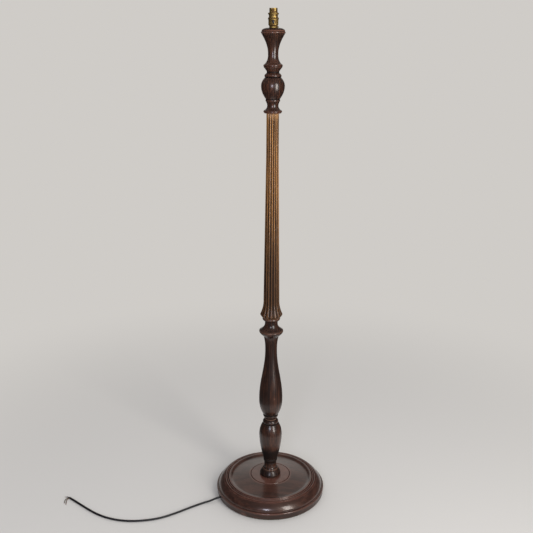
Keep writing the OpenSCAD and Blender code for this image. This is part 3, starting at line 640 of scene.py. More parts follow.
def patina_group() -> bpy.types.NodeTree:
    """Blotches and specks of old brass."""
    g, i, o = group(
        "brass_patina",
        {"Vector": (VECTOR, None), "Blotch": (FLOAT, 120.0), "Amount": (FLOAT, 0.5)},
        {"Tarnish": FLOAT, "Specks": FLOAT, "Height": FLOAT},
    )
    blotch = g.noise(i.outputs[0], 1.0, 5.0, 0.65)
    g.feed(blotch.node.inputs["Scale"], i.outputs["Blotch"])
    level = g.plus(blotch, g.minus(i.outputs["Amount"], 0.5))
    specks = g.ramp(g.noise(i.outputs[0], 900.0, 3.0), 0.58, 0.7)
    fine = g.noise(i.outputs[0], 2200.0, 2.0)
    g.feed(o.inputs["Tarnish"], g.ramp(level, 0.38, 0.66))
    g.feed(o.inputs["Specks"], specks)
    g.feed(o.inputs["Height"], g.minus(g.times(fine, 0.4), g.times(specks, 0.6)))
    return g.tree


class Groups:
    """The shader groups, each built once."""

    def __init__(self) -> None:
        """Builds the groups."""
        self.figure = wood_figure_group()
        self.wear_and_sheen = edge_wear_group()
        self.patina = patina_group()

    def use(self, g: Graph, tree: bpy.types.NodeTree, feeds: dict[str, Feed]) -> bpy.types.Node:
        """Places a group in a material with its own values."""
        made = g.node("ShaderNodeGroup", node_tree=tree)
        for key, value in feeds.items():
            g.feed(made.inputs[key], value)
        return made


# ------------------------------------------------------------------ finishes
def new_material(name: str) -> tuple[bpy.types.Material, Graph, bpy.types.Node, Socket]:
    """Starts a material.

    Args:
        name: Name of the material.

    Returns:
        The material, its graph, its Principled shader and the piece's own coordinates.
    """
    material = bpy.data.materials.new(name)
    material.use_nodes = True
    graph = Graph(material.node_tree)
    shader = material.node_tree.nodes["Principled BSDF"]
    here = graph.node("ShaderNodeTexCoord").outputs["Object"]
    return material, graph, shader, here


def raise_bumps(g: Graph, shader: bpy.types.Node, height: Feed, depth: float, strength: float = 1.0) -> None:
    """Feeds a shader's normal from a height, depth in metres."""
    bump = g.node("ShaderNodeBump", {"Height": height, "Distance": depth, "Strength": strength})
    g.feed(shader.inputs["Normal"], bump)


@dataclass(frozen=True)
class PolishedWood:
    """Stained and French-polished hardwood."""

    name: str
    deep: Colour
    middle: Colour
    light: Colour
    # Colour of the rubbed arrises, partly painted highlight.
    rub_and_sheen: Colour
    # Colour of the grime and painted shade in the creases.
    grime_and_shade: Colour
    grain: Grain = Grain.UP
    lines: float = 150.0
    roughness: float = 0.3
    coat: float = 0.5
    coat_roughness: float = 0.16
    # How strongly the rubbed arrises show, as rubbing and painted highlight.
    wear_and_sheen: float = 0.6
    relief: float = 0.00006
    specular: float = 0.22
    sheen_of: Colour = (1.0, 1.0, 1.0)
    # The stain turns darker towards the bottom between these heights, and the arrises there take their own
    # colour, partly painted highlight.
    fade_z: Point2 | None = None
    low_tone: Colour = (0.0, 0.0, 0.0)
    low_rub_and_sheen: Colour = (0.0, 0.0, 0.0)

    def build(self, groups: Groups) -> bpy.types.Material:
        """Builds the material.

        Args:
            groups: The shader groups.

        Returns:
            The finished material.
        """
        material, g, shader, here = new_material(self.name)
        along = here
        if self.grain is Grain.ACROSS:
            along = g.node("ShaderNodeMapping", {
                "Vector": here, "Rotation": (0.0, math.pi / 2, 0.35), "Location": (0.013, 0.0, 0.0),
            }).outputs[0]
        figure = groups.use(g, groups.figure, {"Vector": along, "Lines": self.lines})
        marks = groups.use(g, groups.wear_and_sheen, {"Vector": here})
        stain = g.mix(figure.outputs["Figure"], self.deep, self.middle)
        warm = g.times(
            g.ramp(figure.outputs["Fibre"], 0.35, 0.7),
            g.ramp(figure.outputs["Figure"], 0.2, 1.0, (0.15, 0.8)),
        )
        stain = g.mix(warm, stain, self.light)
        rub_and_sheen: Feed = self.rub_and_sheen
        # Towards the bottom of the piece the stain turns darker, and its rubbed arrises take a second colour
        # that is partly painted highlight.
        if self.fade_z:
            z = g.node("ShaderNodeSeparateXYZ", {0: here}).outputs[2]
            share = g.ramp(z, self.fade_z[0] * MM, self.fade_z[1] * MM, (1.0, 0.0))
            stain = g.mix(share, stain, g.mix(0.8, stain, self.low_tone))
            rub_and_sheen = g.mix(share, self.rub_and_sheen, self.low_rub_and_sheen)
        stain = g.mix(g.times(figure.outputs["Pores"], 0.35), stain, self.deep)
        # Grime and painted shade darken the stain in the creases, in the flutes and in the painted shade
        # bands.
        stain = g.mix(g.times(marks.outputs["GrimeAndShade"], 0.92), stain, self.grime_and_shade)
        # Rubbing and painted highlight lighten the stain on the arrises.
        stain = g.mix(g.times(marks.outputs["WearAndSheen"], self.wear_and_sheen), stain, rub_and_sheen)
        g.feed(shader.inputs["Base Color"], stain)
        haze = g.noise(here, 45.0, 4.0)
        rough = g.plus(g.times(haze, 0.16), self.roughness - 0.08)
        g.feed(shader.inputs["Roughness"], g.plus(rough, g.times(marks.outputs["GrimeAndShade"], 0.25), clamp=True))
        shader.inputs["Specular IOR Level"].default_value = self.specular
        shader.inputs["Specular Tint"].default_value = (*self.sheen_of, 1.0)
        shader.inputs["Coat Roughness"].default_value = self.coat_roughness
        g.feed(shader.inputs["Coat Weight"], g.ramp(marks.outputs["GrimeAndShade"], 0.0, 0.9, (self.coat, 0.0)))
        raise_bumps(g, shader, g.plus(figure.outputs["Height"], g.times(haze, 0.5)), self.relief)
        return material


@dataclass(frozen=True)
class OldBrass:
    """Brass with blotchy tarnish, bright where it is worn."""

    name: str
    bright: Colour
    tarnish: Colour
    blotch: float = 120.0
    amount: float = 0.5
    roughness: float = 0.3

    def build(self, groups: Groups) -> bpy.types.Material:
        """Builds the material from the patina and wear groups."""
        material, g, shader, here = new_material(self.name)
        patina = groups.use(g, groups.patina, {"Vector": here, "Blotch": self.blotch, "Amount": self.amount})
        marks = groups.use(g, groups.wear_and_sheen, {"Vector": here, "Scale": 300.0})
        tarnished = g.plus(patina.outputs["Tarnish"], marks.outputs["GrimeAndShade"], clamp=True)
        tarnished = g.minus(tarnished, g.times(marks.outputs["WearAndSheen"], 0.7), clamp=True)
        colour = g.mix(tarnished, self.bright, self.tarnish)
        colour = g.mix(g.times(patina.outputs["Specks"], 0.6), colour, tuple(c * 0.35 for c in self.tarnish))
        g.feed(shader.inputs["Base Color"], colour)
        g.feed(shader.inputs["Metallic"], g.ramp(tarnished, 0.0, 1.0, (1.0, 0.75)))
        rough = g.ramp(tarnished, 0.0, 1.0, (self.roughness, self.roughness + 0.22))
        g.feed(shader.inputs["Roughness"], rough)
        raise_bumps(g, shader, patina.outputs["Height"], 0.00006)
        return material


@dataclass(frozen=True)
class Moulded:
    """A moulded or drawn material: bakelite, rubber, core insulation or glazed ceramic."""

    name: str
    colour: Colour
    worn: Colour
    roughness: float = 0.4
    scale: float = 400.0
    depth: float = 0.00003

    def build(self, groups: Groups) -> bpy.types.Material:
        """Builds the material with its cloudy surface and handled edges."""
        material, g, shader, here = new_material(self.name)
        marks = groups.use(g, groups.wear_and_sheen, {"Vector": here, "Scale": 200.0})
        cloud = g.noise(here, self.scale, 4.0)
        colour = g.mix(g.ramp(cloud, 0.4, 0.7, (0.0, 0.6)), self.colour, self.worn)
        g.feed(shader.inputs["Base Color"], g.mix(g.times(marks.outputs["WearAndSheen"], 0.5), colour, self.worn))
        rough = g.ramp(cloud, 0.3, 0.7, (self.roughness - 0.06, self.roughness + 0.1))
        g.feed(shader.inputs["Roughness"], rough)
        raise_bumps(g, shader, cloud, self.depth)
        return material


@dataclass(frozen=True)
class Metal:
    """Plain metal of screws, springs and contacts."""

    name: str
    colour: Colour
    dull: Colour
    roughness: float = 0.35

    def build(self, groups: Groups) -> bpy.types.Material:
        """Builds the material with dull patches."""
        material, g, shader, here = new_material(self.name)
        patina = groups.use(g, groups.patina, {"Vector": here, "Blotch": 260.0, "Amount": 0.4})
        g.feed(shader.inputs["Base Color"], g.mix(patina.outputs["Tarnish"], self.colour, self.dull))
        shader.inputs["Metallic"].default_value = 1.0
        rough = g.ramp(patina.outputs["Tarnish"], 0.0, 1.0, (self.roughness, self.roughness + 0.2))
        g.feed(shader.inputs["Roughness"], rough)
        raise_bumps(g, shader, patina.outputs["Height"], 0.00004)
        return material


@dataclass(frozen=True)
class Felt:
    """Woven green baize with a short nap."""

    name: str
    dark: Colour
    light: Colour

    def build(self, groups: Groups) -> bpy.types.Material:
        """Builds the material with crossed threads and loose fibres."""
        material, g, shader, here = new_material(self.name)
        threads = []
        for turn in (0.0, math.pi / 2):
            way = g.node("ShaderNodeMapping", {"Vector": here, "Rotation": (0.0, 0.0, turn)})
            wave = g.node("ShaderNodeTexWave", {
                "Vector": way, "Scale": 140.0, "Distortion": 1.5, "Detail": 2.0})
            threads.append(wave.outputs[1])
        weave = g.larger(*threads)
        nap = g.noise(here, 1400.0, 4.0, 0.7)
        height = g.plus(g.times(weave, 0.5), nap)
        g.feed(shader.inputs["Base Color"], g.mix(g.ramp(height, 0.5, 1.1), self.dark, self.light))
        shader.inputs["Roughness"].default_value = 0.95
        shader.inputs["Sheen Weight"].default_value = 0.4
        raise_bumps(g, shader, height, 0.0003)
        return material


class Finishes:
    """All finishes of the lamp, by the frame's material slots."""

    def __init__(self) -> None:
        """Builds every material once."""
        groups = Groups()
        kinds = {
            "mahogany": PolishedWood(
                "mahogany", (0.011, 0.0045, 0.0035), (0.038, 0.0145, 0.009), (0.12, 0.043, 0.019),
                (0.2, 0.083, 0.052), (0.003, 0.0015, 0.0012), coat=1.0, coat_roughness=0.24, roughness=0.34,
                wear_and_sheen=0.8, relief=0.00002),
            "base_mahogany": PolishedWood(
                "base_mahogany", (0.018, 0.0075, 0.0055), (0.034, 0.0135, 0.0095), (0.068, 0.026, 0.017),
                (0.15, 0.06, 0.043), (0.003, 0.0015, 0.0012), grain=Grain.ACROSS, lines=60.0, roughness=0.36,
                coat=0.7, coat_roughness=0.17, relief=0.00002, specular=0.5, sheen_of=(1.0, 0.76, 0.66)),
            "dark_wood": PolishedWood(
                "dark_wood", (0.009, 0.0042, 0.0032), (0.028, 0.0115, 0.0072), (0.075, 0.027, 0.014),
                (0.17, 0.085, 0.055), (0.003, 0.0015, 0.0012), roughness=0.38, coat=0.65, coat_roughness=0.2,
                wear_and_sheen=0.8, relief=0.00003),
            "golden_wood": PolishedWood(
                "golden_wood", (0.045, 0.015, 0.004), (0.24, 0.09, 0.018), (0.58, 0.265, 0.062),
                (0.66, 0.37, 0.16), (0.006, 0.003, 0.0015), lines=150.0, roughness=0.4, coat=0.4, wear_and_sheen=0.45,
                relief=0.00004, fade_z=(680.0, 1180.0), low_tone=(0.035, 0.014, 0.006),
                low_rub_and_sheen=(0.13, 0.068, 0.036)),
            "brass": OldBrass("brass", (0.6, 0.43, 0.13), (0.12, 0.06, 0.02), amount=0.56, roughness=0.4),
            "ring_brass": OldBrass(
                "ring_brass", (0.42, 0.28, 0.08), (0.07, 0.035, 0.013), amount=0.64, roughness=0.38),
            "thread_brass": OldBrass("thread_brass", (0.5, 0.33, 0.12), (0.1, 0.055, 0.025), amount=0.6),
            "bakelite": Moulded("bakelite", (0.004, 0.0045, 0.008), (0.012, 0.014, 0.026), 0.5),
            "flex_sheath": Moulded("flex_sheath", (0.005, 0.004, 0.006), (0.012, 0.01, 0.014), 0.5, 250.0),
            "core_brown": Moulded("core_brown", (0.09, 0.031, 0.011), (0.14, 0.055, 0.024), 0.45),
            "core_blue": Moulded("core_blue", (0.005, 0.006, 0.014), (0.012, 0.014, 0.03), 0.45),
            "core_earth": Moulded("core_earth", (0.08, 0.066, 0.02), (0.13, 0.1, 0.036), 0.45),
            "porcelain": Moulded("porcelain", (0.72, 0.67, 0.56), (0.55, 0.5, 0.4), 0.25, 300.0, 0.00001),
            "steel": Metal("steel", (0.42, 0.42, 0.43), (0.2, 0.19, 0.18)),
            "copper": Metal("copper", (0.75, 0.36, 0.2), (0.4, 0.18, 0.1)),
            "baize": Felt("baize", (0.012, 0.04, 0.02), (0.04, 0.1, 0.05)),
        }
        self.made = {key: kind.build(groups) for key, kind in kinds.items()}

    def dress(self, piece: Piece, finish: str, slot: str | None = None) -> Piece:
        """Gives a piece its finish."""
        piece.data.materials.clear()
        piece.data.materials.append(self.made[finish])
        return piece


# ------------------------------------------------------------------ geometry nodes
def run_tree(piece: Piece, tree: bpy.types.NodeTree, values: dict[str, object]) -> Piece:
    """Runs a geometry tree on a piece and keeps the result as its plain mesh.

    Args:
        piece: The piece that the tree starts from.
        tree: The tree.
        values: What its inputs take, by name.

    Returns:
        The piece with its new mesh.
    """
    step = piece.modifiers.new(tree.name, "NODES")
    step.node_group = tree
    for item in tree.interface.items_tree:
        if item.item_type == "SOCKET" and item.in_out == "INPUT" and item.name in values:
            step[item.identifier] = values[item.name]
    return plain(piece)


def finish_tree(g: Graph, o: bpy.types.Node, geometry: Feed, material: Feed) -> None:
    """Ends a tree in Realize Instances and Set Material."""
    whole = g.node("GeometryNodeRealizeInstances", {"Geometry": geometry})
    dressed = g.node("GeometryNodeSetMaterial", {"Geometry": whole, "Material": material})
    g.feed(o.inputs[0], dressed)


GEOMETRY, MATERIAL = "NodeSocketGeometry", "NodeSocketMaterial"


def polar(g: Graph) -> tuple[Socket, Socket, Socket, bpy.types.Node]:
    """A point's distance from the axis, its direction, its height and its parts."""
    parts = g.node("ShaderNodeSeparateXYZ", {0: g.node("GeometryNodeInputPosition")})
    x, y, z = parts.outputs
    away = g.math("SQRT", g.plus(g.times(x, x), g.times(y, y)))
    return away, g.math("ARCTAN2", y, x), z, parts


def pushed_in(g: Graph, geometry: Feed, parts: bpy.types.Node, away: Feed, depth: Feed) -> bpy.types.Node:
    """Moves points towards the axis by a depth."""
    share = g.times(g.math("DIVIDE", depth, g.larger(away, SAME)), -1.0)
    x, y = (g.times(parts.outputs[k], share) for k in (0, 1))
    offset = g.node("ShaderNodeCombineXYZ", {0: x, 1: y, 2: 0.0})
    return g.node("GeometryNodeSetPosition", {"Geometry": geometry, "Offset": offset})


def store(g: Graph, geometry: Feed, name: str, value: Feed) -> bpy.types.Node:
    """Stores a number on the points."""
    made = g.node("GeometryNodeStoreNamedAttribute", data_type="FLOAT", domain="POINT")
    g.feed(made.inputs["Geometry"], geometry)
    g.feed(made.inputs["Name"], name)
    g.feed(next(s for s in made.inputs if s.name == "Value" and s.enabled), value)
    return made


def read(g: Graph, name: str) -> Socket:
    """Reads a number that the points carry."""
    return g.node("GeometryNodeInputNamedAttribute", {"Name": name}, data_type="FLOAT").outputs[0]


def flute_tree() -> bpy.types.NodeTree:
    """Hollow flutes scooped up a turned shaft, as deep as the scoop reaches below its surface."""
    lengths = (
        "Flare Top", "Taper End", "Low Depth", "High Depth", "Low Scoop", "High Scoop", "Start", "Full",
    )
    takes = {"Geometry": (GEOMETRY, None), "Flutes": (INT, 16)}
    takes.update({key: (FLOAT, 0.0) for key in lengths})
    takes["Material"] = (MATERIAL, None)
    g, i, o = group("flutes", takes, {"Geometry": GEOMETRY}, "GeometryNodeTree")
    away, turn, z, parts = polar(g)
    pitch = g.math("DIVIDE", math.tau, i.outputs["Flutes"])
    first = g.plus(g.times(pitch, 0.5), -math.pi / 2)
    aside = g.math("WRAP", g.minus(turn, first), g.times(pitch, 0.5), g.times(pitch, -0.5))

    def tapering(low: str, high: str) -> Socket:
        """A size that tapers up the shaft."""
        made = g.node("ShaderNodeMapRange", {"Value": z})
        spans = {"From Min": "Flare Top", "From Max": "Taper End", "To Min": low, "To Max": high}
        for key, value in spans.items():
            g.feed(made.inputs[key], i.outputs[value])
        return made.outputs[0]

    depth, scoop = tapering("Low Depth", "High Depth"), tapering("Low Scoop", "High Scoop")
    beside = g.times(away, g.math("SINE", aside))
    under = g.minus(g.times(scoop, scoop), g.times(beside, beside))
    bow = g.times(away, g.minus(1.0, g.math("COSINE", aside)))
    reach = g.minus(g.math("SQRT", g.larger(under, 0.0)), g.plus(g.minus(scoop, depth), bow))
    fade = g.node(
        "ShaderNodeMapRange",
        {"Value": z, "From Min": i.outputs["Start"], "From Max": i.outputs["Full"]},
        interpolation_type="SMOOTHSTEP",
    )
    scooped = g.times(g.times(g.larger(reach, 0.0), fade), read(g, "carved"))
    share = g.math("DIVIDE", scooped, depth, clamp=True)
    shaped = pushed_in(g, i.outputs["Geometry"], parts, away, scooped)
    # Grime and painted shade fill the hollows of the flutes, and their lands are marked for rubbing and
    # painted highlight.
    hollow = g.larger(read(g, "crease"), g.times(share, 0.9))
    land = g.times(read(g, "carved"), g.ramp(share, 0.0, 0.25, (0.75, 0.0)))
    shaped = store(g, shaped, "arris", g.larger(read(g, "arris"), land))
    shaped = store(g, shaped, "crease", hollow)
    finish_tree(g, o, shaped, i.outputs["Material"])
    return g.tree


def knurl_tree() -> bpy.types.NodeTree:
    """Even grooves pressed round a ring's edge where its points say carved."""
    takes = {
        "Geometry": (GEOMETRY, None), "Grooves": (INT, 40), "Depth": (FLOAT, 0.0003),
        "Material": (MATERIAL, None),
    }
    g, i, o = group("knurls", takes, {"Geometry": GEOMETRY}, "GeometryNodeTree")
    away, turn, _, parts = polar(g)
    wave = g.math("COSINE", g.times(turn, i.outputs["Grooves"]))
    share = g.math("POWER", g.plus(g.times(wave, 0.5), 0.5), 1.6)
    depth = g.times(g.times(share, i.outputs["Depth"]), read(g, "carved"))
    shaped = pushed_in(g, i.outputs["Geometry"], parts, away, depth)
    hollow = g.larger(read(g, "crease"), g.times(share, g.times(read(g, "carved"), 0.7)))
    shaped = store(g, shaped, "crease", hollow)
    finish_tree(g, o, shaped, i.outputs["Material"])
    return g.tree


def winding_tree() -> bpy.types.NodeTree:
    """A round wire or ridge that winds up about an upright axis: a coil spring or a screw thread."""
    takes = {
        "Geometry": (GEOMETRY, None), "Radius": (FLOAT, 0.013), "At": (VECTOR, None),
        "Length": (FLOAT, 0.008), "Turns": (FLOAT, 5.0), "Wire": (FLOAT, 0.0004), "Sides": (INT, 6),
        "Material": (MATERIAL, None),
    }
    g, i, o = group("winding", takes, {"Geometry": GEOMETRY}, "GeometryNodeTree")
    spiral = g.node("GeometryNodeCurveSpiral", {
        "Resolution": 64, "Rotations": i.outputs["Turns"], "Start Radius": i.outputs["Radius"],
        "End Radius": i.outputs["Radius"], "Height": i.outputs["Length"]})
    section = g.node("GeometryNodeCurvePrimitiveCircle", {
        "Resolution": i.outputs["Sides"], "Radius": i.outputs["Wire"]})
    wound = g.node("GeometryNodeCurveToMesh", {"Curve": spiral, "Profile Curve": section, "Fill Caps": True})
    there = g.node("GeometryNodeSetPosition", {"Geometry": wound, "Offset": i.outputs["At"]})
    finish_tree(g, o, there, i.outputs["Material"])
    return g.tree


def strand_tree() -> bpy.types.NodeTree:
    """A tuft of fine wires that spread a little from the end of a core."""
    takes = {
        "Geometry": (GEOMETRY, None), "Strands": (INT, 9), "Wire": (FLOAT, 0.0001), "Core": (FLOAT, 0.0008),
        "Length": (FLOAT, 0.005), "Spread": (FLOAT, 0.25), "Seed": (INT, 3), "At": (VECTOR, None),
        "Turn": (VECTOR, None), "Material": (MATERIAL, None),
    }
    g, i, o = group("strands", takes, {"Geometry": GEOMETRY}, "GeometryNodeTree")
    ring = g.node("GeometryNodeMeshCircle", {"Vertices": i.outputs["Strands"], "Radius": i.outputs["Core"]})
    wire = g.node("GeometryNodeMeshCylinder", {
        "Vertices": 8, "Radius": i.outputs["Wire"], "Depth": i.outputs["Length"]})
    lifted = g.node("ShaderNodeCombineXYZ", {2: g.times(i.outputs["Length"], 0.5)})
    stood = g.node("GeometryNodeSetPosition", {"Geometry": wire, "Offset": lifted})
    lean = g.node("FunctionNodeRandomValue", data_type="FLOAT_VECTOR")
    low = g.times(i.outputs["Spread"], -1.0)
    g.feed(lean.inputs[0], g.node("ShaderNodeCombineXYZ", {0: low, 1: low}))
    g.feed(lean.inputs[1], g.node("ShaderNodeCombineXYZ", {0: i.outputs["Spread"], 1: i.outputs["Spread"]}))
    g.feed(lean.inputs["Seed"], i.outputs["Seed"])
    tuft = g.node("GeometryNodeInstanceOnPoints", {
        "Points": ring, "Instance": stood, "Rotation": lean.outputs[0]})
    whole = g.node("GeometryNodeRealizeInstances", {"Geometry": tuft})
    there = g.node("GeometryNodeTransform", {
        "Geometry": whole, "Translation": i.outputs["At"], "Rotation": i.outputs["Turn"]})
    finish_tree(g, o, there, i.outputs["Material"])
    return g.tree


class Trees:
    """The geometry trees, each built once."""

    def __init__(self) -> None:
        """Builds the trees."""
        self.flutes = flute_tree()
        self.knurls = knurl_tree()
        self.winding = winding_tree()
        self.strands = strand_tree()


def mark(piece: Piece, test: Callable[[float, float], float]) -> None:
    """Writes the attribute carved, from each point's distance from the axis and height.

    Args:
        piece: A turned piece.
        test: Gives the share from a radius and a height in millimetres.
    """
    mesh = piece.data
    values = [test(math.hypot(v.co.x, v.co.y) / MM, v.co.z / MM) for v in mesh.vertices]
    mesh.attributes.new("carved", "FLOAT", "POINT").data.foreach_set("value", values)


# ------------------------------------------------------------------ the lamp
@dataclass
class Workshop:
    """What every sub-assembly needs to make its pieces."""

    finishes: Finishes
    trees: Trees

    def done(
        self, piece: Piece, finish: str, body: Body, nodes: Sequence[str] = (), slot: str | None = None
    ) -> Piece:
        """Dresses a finished piece and fixes it to its body.

        Args:
            piece: The piece.
            finish: Name of its finish.
            body: The body that it rides on.
            nodes: Frame nodes that it stands for.
            slot: The frame's slot, where it isn't named as the finish; not used.

        Returns:
            The piece.
        """
        self.finishes.dress(piece, finish, slot)
        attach(piece, body.value)
        if nodes:
            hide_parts(*nodes)
        log.info("%s: on %s, %s", piece.name, body.value, finish)
        return piece


@dataclass
class Heights:
    """Heights of the joints between the turned sections."""

    base: float = 64.0
    joint_1: float = 285.0
    joint_2: float = 659.0
    joint_3: float = 1332.0
    holder: float = 1583.0


@dataclass
class Base:
    """The dished round wooden base with its plinth, mouldings and rim."""

    shop: Workshop
    heights: Heights
    radius: float = 190.5
    baize: float = 2.0
    plinth_top: float = 26.0
    step: float = 6.5
    fullness: float = 1.8
    rim_r: float = 148.0
    rim_z: float = 57.0
    dish_r: float = 131.0
    dish_z: float = 52.0
    ring_r: float = 69.0
    ring_w: float = 3.0
    quirk: float = 2.0
    quirk_w: float = 1.0
    lip: float = 3.5
    inner_bead: Point2 = (5.0, 2.5)
    outer_bead: Point2 = (7.0, 2.0)
    recess: Point2 = (150.0, 17.0)
    socket_r: float = 16.1
    edge: float = 3.0
    foot_set_in: float = 4.5
    exit_angle: float = FLEX_EXIT_ANGLE
    exit_d: float = 7.8
    exit_z: float = FLEX_EXIT_Z

    def outline(self) -> Outline:
        """The base's outline from the plinth's foot up and in to the column's seat."""
        r, top, seat = self.radius, self.plinth_top, self.heights.base
        outer_z, inner_z = self.rim_z - 4, self.rim_z - 3
        inner_r = self.rim_r + 2 * self.quirk_w + self.inner_bead[0]
        cushion = inner_r + self.outer_bead[0]
        lip_r, fall = self.rim_r - self.lip, self.rim_z - self.dish_z
        quirk_r = cushion + 2 * self.quirk_w
        slope = [(lip_r - (lip_r - self.dish_r) * i / 16, math.cos(math.pi * i / 16)) for i in range(17)]
        return (
            quarter_out((r - self.foot_set_in, self.baize), (r - 1.5, self.baize + self.edge))
            + rule((r - 1.5, self.baize + self.edge), (r, top - self.edge), 5)
            + quarter_up((r, top - self.edge), (r - self.edge, top), 8)
            + [(r - self.edge, top), (r - self.step, top + 0.5)]
            + leave_upright((r - self.step, top + 1), (quirk_r, outer_z), self.fullness, 30)
            + [
                (quirk_r, outer_z),
                (cushion + self.quirk_w, outer_z - self.quirk),
                (cushion, outer_z - self.quirk),
            ]
            + flat_bead((cushion, outer_z), (inner_r, outer_z), self.outer_bead[1], 12)
            + [(inner_r, outer_z)]
            + flat_bead((inner_r, inner_z), (inner_r - self.inner_bead[0], inner_z), self.inner_bead[1], 10)
            + [(inner_r - self.inner_bead[0], inner_z), (self.rim_r + self.quirk_w, inner_z)]
            + [(self.rim_r, self.rim_z - 0.5), (self.rim_r - 0.5, self.rim_z)]
            + [(at, self.dish_z + fall * (1 + level) / 2) for at, level in slope]
            + rule((self.dish_r - 4, self.dish_z + 0.7), (self.ring_r + self.ring_w / 2, seat - 0.4), 8)
            + [
                (self.ring_r + self.ring_w / 2, seat - 0.4),
                (self.ring_r, seat - 0.4 - self.quirk),
                (self.ring_r - self.ring_w / 2, seat),
            ]
        )

    def make(self) -> None:
        """Turns the base, bores the flex hole, takes most of the grime and painted shade out of its lowest
        creases, paints shade on its plinth and adds its worn places.
        """
        inside = [
            (self.socket_r, self.heights.base),
            (self.socket_r, self.recess[1]),
            (self.recess[0], self.recess[1]),
            (self.recess[0], self.baize),
        ]
        wood = lathe("base_wood", self.outline() + inside, 256, 0.5, 2.4)
        turn = Matrix.Rotation(math.radians(self.exit_angle), 4, "Z")
        hole = turn @ place(self.recess[0] - 5, 0, self.exit_z, Matrix.Rotation(math.pi / 2, 4, "Y"))
        cut(wood, [rod(self.exit_d, self.radius - self.recess[0] + 10, hole)])
        # Most grime and painted shade is taken out of the creases near the floor, and the plinth's face gets
        # painted shade.
        cleared_below(wood, 30.0)
        paint_shade_band(wood, (3.0, 24.0), 0.45)
        worn_at(wood, (-92.0, -166.0, 6.0), 9.0, 1.4)
        worn_at(wood, (-40.0, 140.0, 56.5), 5.0, 0.8)
        self.shop.done(wood, "base_mahogany", Body.STANDARD, ["base_disc"], "mahogany")


@dataclass
class FootSection:
    """The lowest section of the column: foot ring, hollow neck, bead and vase."""

    shop: Workshop
    heights: Heights
    foot_r: float = 36.3
    neck_r: float = 21.0
    vase_r: float = 40.0
    bead_r: float = 26.5
    tenon_r: float = 16.0
    bore_r: float = COLUMN_BORE_R
    socket: Point2 = (12.1, 35.0)
    ceiling: float = 17.0

    @property
    def groove_r(self) -> float:
        """Radius in the groove between the twin beads."""
        return self.bead_r - 5

    def outline(self) -> Outline:
        """The section's outline, from the base up."""
        z, top, foot, neck = self.heights.base, self.heights.joint_1, self.foot_r, self.neck_r
        return (
            quarter_out((foot - 2, z), (foot, z + 4))
            + [(foot, z + 4)]
            + leave_upright((foot, z + 6), (foot - 8.5, z + 22), 1.4)
            + [(foot - 8.5, z + 22), (foot - 9.6, z + 22.6), (foot - 9.6, z + 23.4)]
            + quarter_up((foot - 9.3, z + 24), (foot - 12, z + 27.5), 8)
            + arrive_upright((foot - 12.2, z + 28), (neck, z + 40), 2)
            + [(neck, z + 40), (neck + 0.4, z + 50), (neck, z + 52)]
            + bead((neck + 0.4, z + 53), (neck + 1.6, z + 66), 2.4)
            + arrive_upright((neck + 3.2, z + 66.5), (self.vase_r - 0.4, top - 66), 1.65, 36)
            + leave_upright((self.vase_r, top - 63), (self.bead_r + 0.8, top - 17.5), 2.2, 30)
            + bead((self.bead_r - 0.9, top - 17), (self.groove_r + 0.6, top - 3), 2.8)
            + [(self.groove_r + 0.6, top - 3), (self.groove_r, top - 2), (self.groove_r, top)]
        )

    def make(self) -> None:
        """Turns the foot section with its tenon, bore and socket."""
        top = self.heights.joint_1
        foot = self.heights.base
        inside = bored(self.socket, top, self.bore_r, (self.tenon_r, foot - self.ceiling), foot)
        wood = lathe("foot_wood", self.outline() + inside, COLUMN_STEPS)
        # Painted shade: the lower vase, the foot ring and the grooves of the twin beads are drawn darker.
        for span, amount in (
            ((106.0, 178.0), 0.85), ((62.0, 86.0), 0.5),
            ((top - 20.0, top - 14.0), 0.9), ((top - 4.5, top + 1.0), 0.9),
        ):
            paint_shade_band(wood, span, amount)
        self.shop.done(wood, "dark_wood", Body.STANDARD, ["foot_column"])


@dataclass
class BalusterSection:
    """The baluster with its sharp collar and the bead that carries the fluted section."""

    shop: Workshop
    heights: Heights
    bead_r: float = 26.5
    groove_r: float = 21.5
    belly_r: float = 40.3
    neck_r: float = 20.1
    collar_r: float = 40.6
    collar_drop: float = 48.0
    seat_r: float = 29.6
    bore_r: float = COLUMN_BORE_R
    spigot: Point2 = (12.0, 35.0)
    socket: Point2 = (13.1, 40.0)

    def outline(self) -> Outline:
        """The section's outline, from the groove of the twin beads up."""
        z, top = self.heights.joint_1, self.heights.joint_2
        rim, neck = top - self.collar_drop, self.neck_r + 1.4
        return (
            [(self.groove_r, z), (self.groove_r + 0.4, z + 3)]
            + bead((self.groove_r + 0.8, z + 5), (self.bead_r - 1.6, z + 17.5), 2.4)
            + arrive_upright((self.bead_r - 0.9, z + 17.5), (self.belly_r, z + 76), 2.5, 36)
            + sway((self.belly_r, z + 78), (self.neck_r, top - 117), 50)
            + leave_upright((self.neck_r, top - 117), (self.neck_r + 5.6, top - 66.5), 2.6)
            + [(self.neck_r + 5.6, top - 66.5)]
            + arrive_upright((self.neck_r + 6.5, top - 65), (self.collar_r, rim), 1.5)
            + quarter_up((self.collar_r, rim + 1), (self.collar_r - 3, rim + 4), 8)
            + [(self.collar_r - 3, rim + 4)]
            + arrive_upright((self.collar_r - 3.6, rim + 5.5), (neck, top - 18), 2.6, 28)
            + leave_upright((neck, top - 18), (self.seat_r - 3.5, top - 8), 2, 12)
            + bead((self.seat_r - 2, top - 7.5), (self.seat_r - 1, top), 1.5, 12)
            + [(self.seat_r - 1, top)]
        )

    def make(self) -> None:
        """Turns the baluster with its spigot, bore and socket."""
        z, top = self.heights.joint_1, self.heights.joint_2
        inside = bored(self.socket, top, self.bore_r, self.spigot, z)
        wood = lathe("baluster_wood", self.outline() + inside, COLUMN_STEPS)
        # Painted shade in the grooves of the twin beads.
        paint_shade_band(wood, (z - 1.0, z + 5.5), 0.9)
        paint_shade_band(wood, (z + 15.0, z + 21.0), 0.9)
        worn_at(wood, (12.0, -38.0, 375.0), 2.2, 1.2)
        self.shop.done(wood, "dark_wood", Body.STANDARD, ["baluster"])


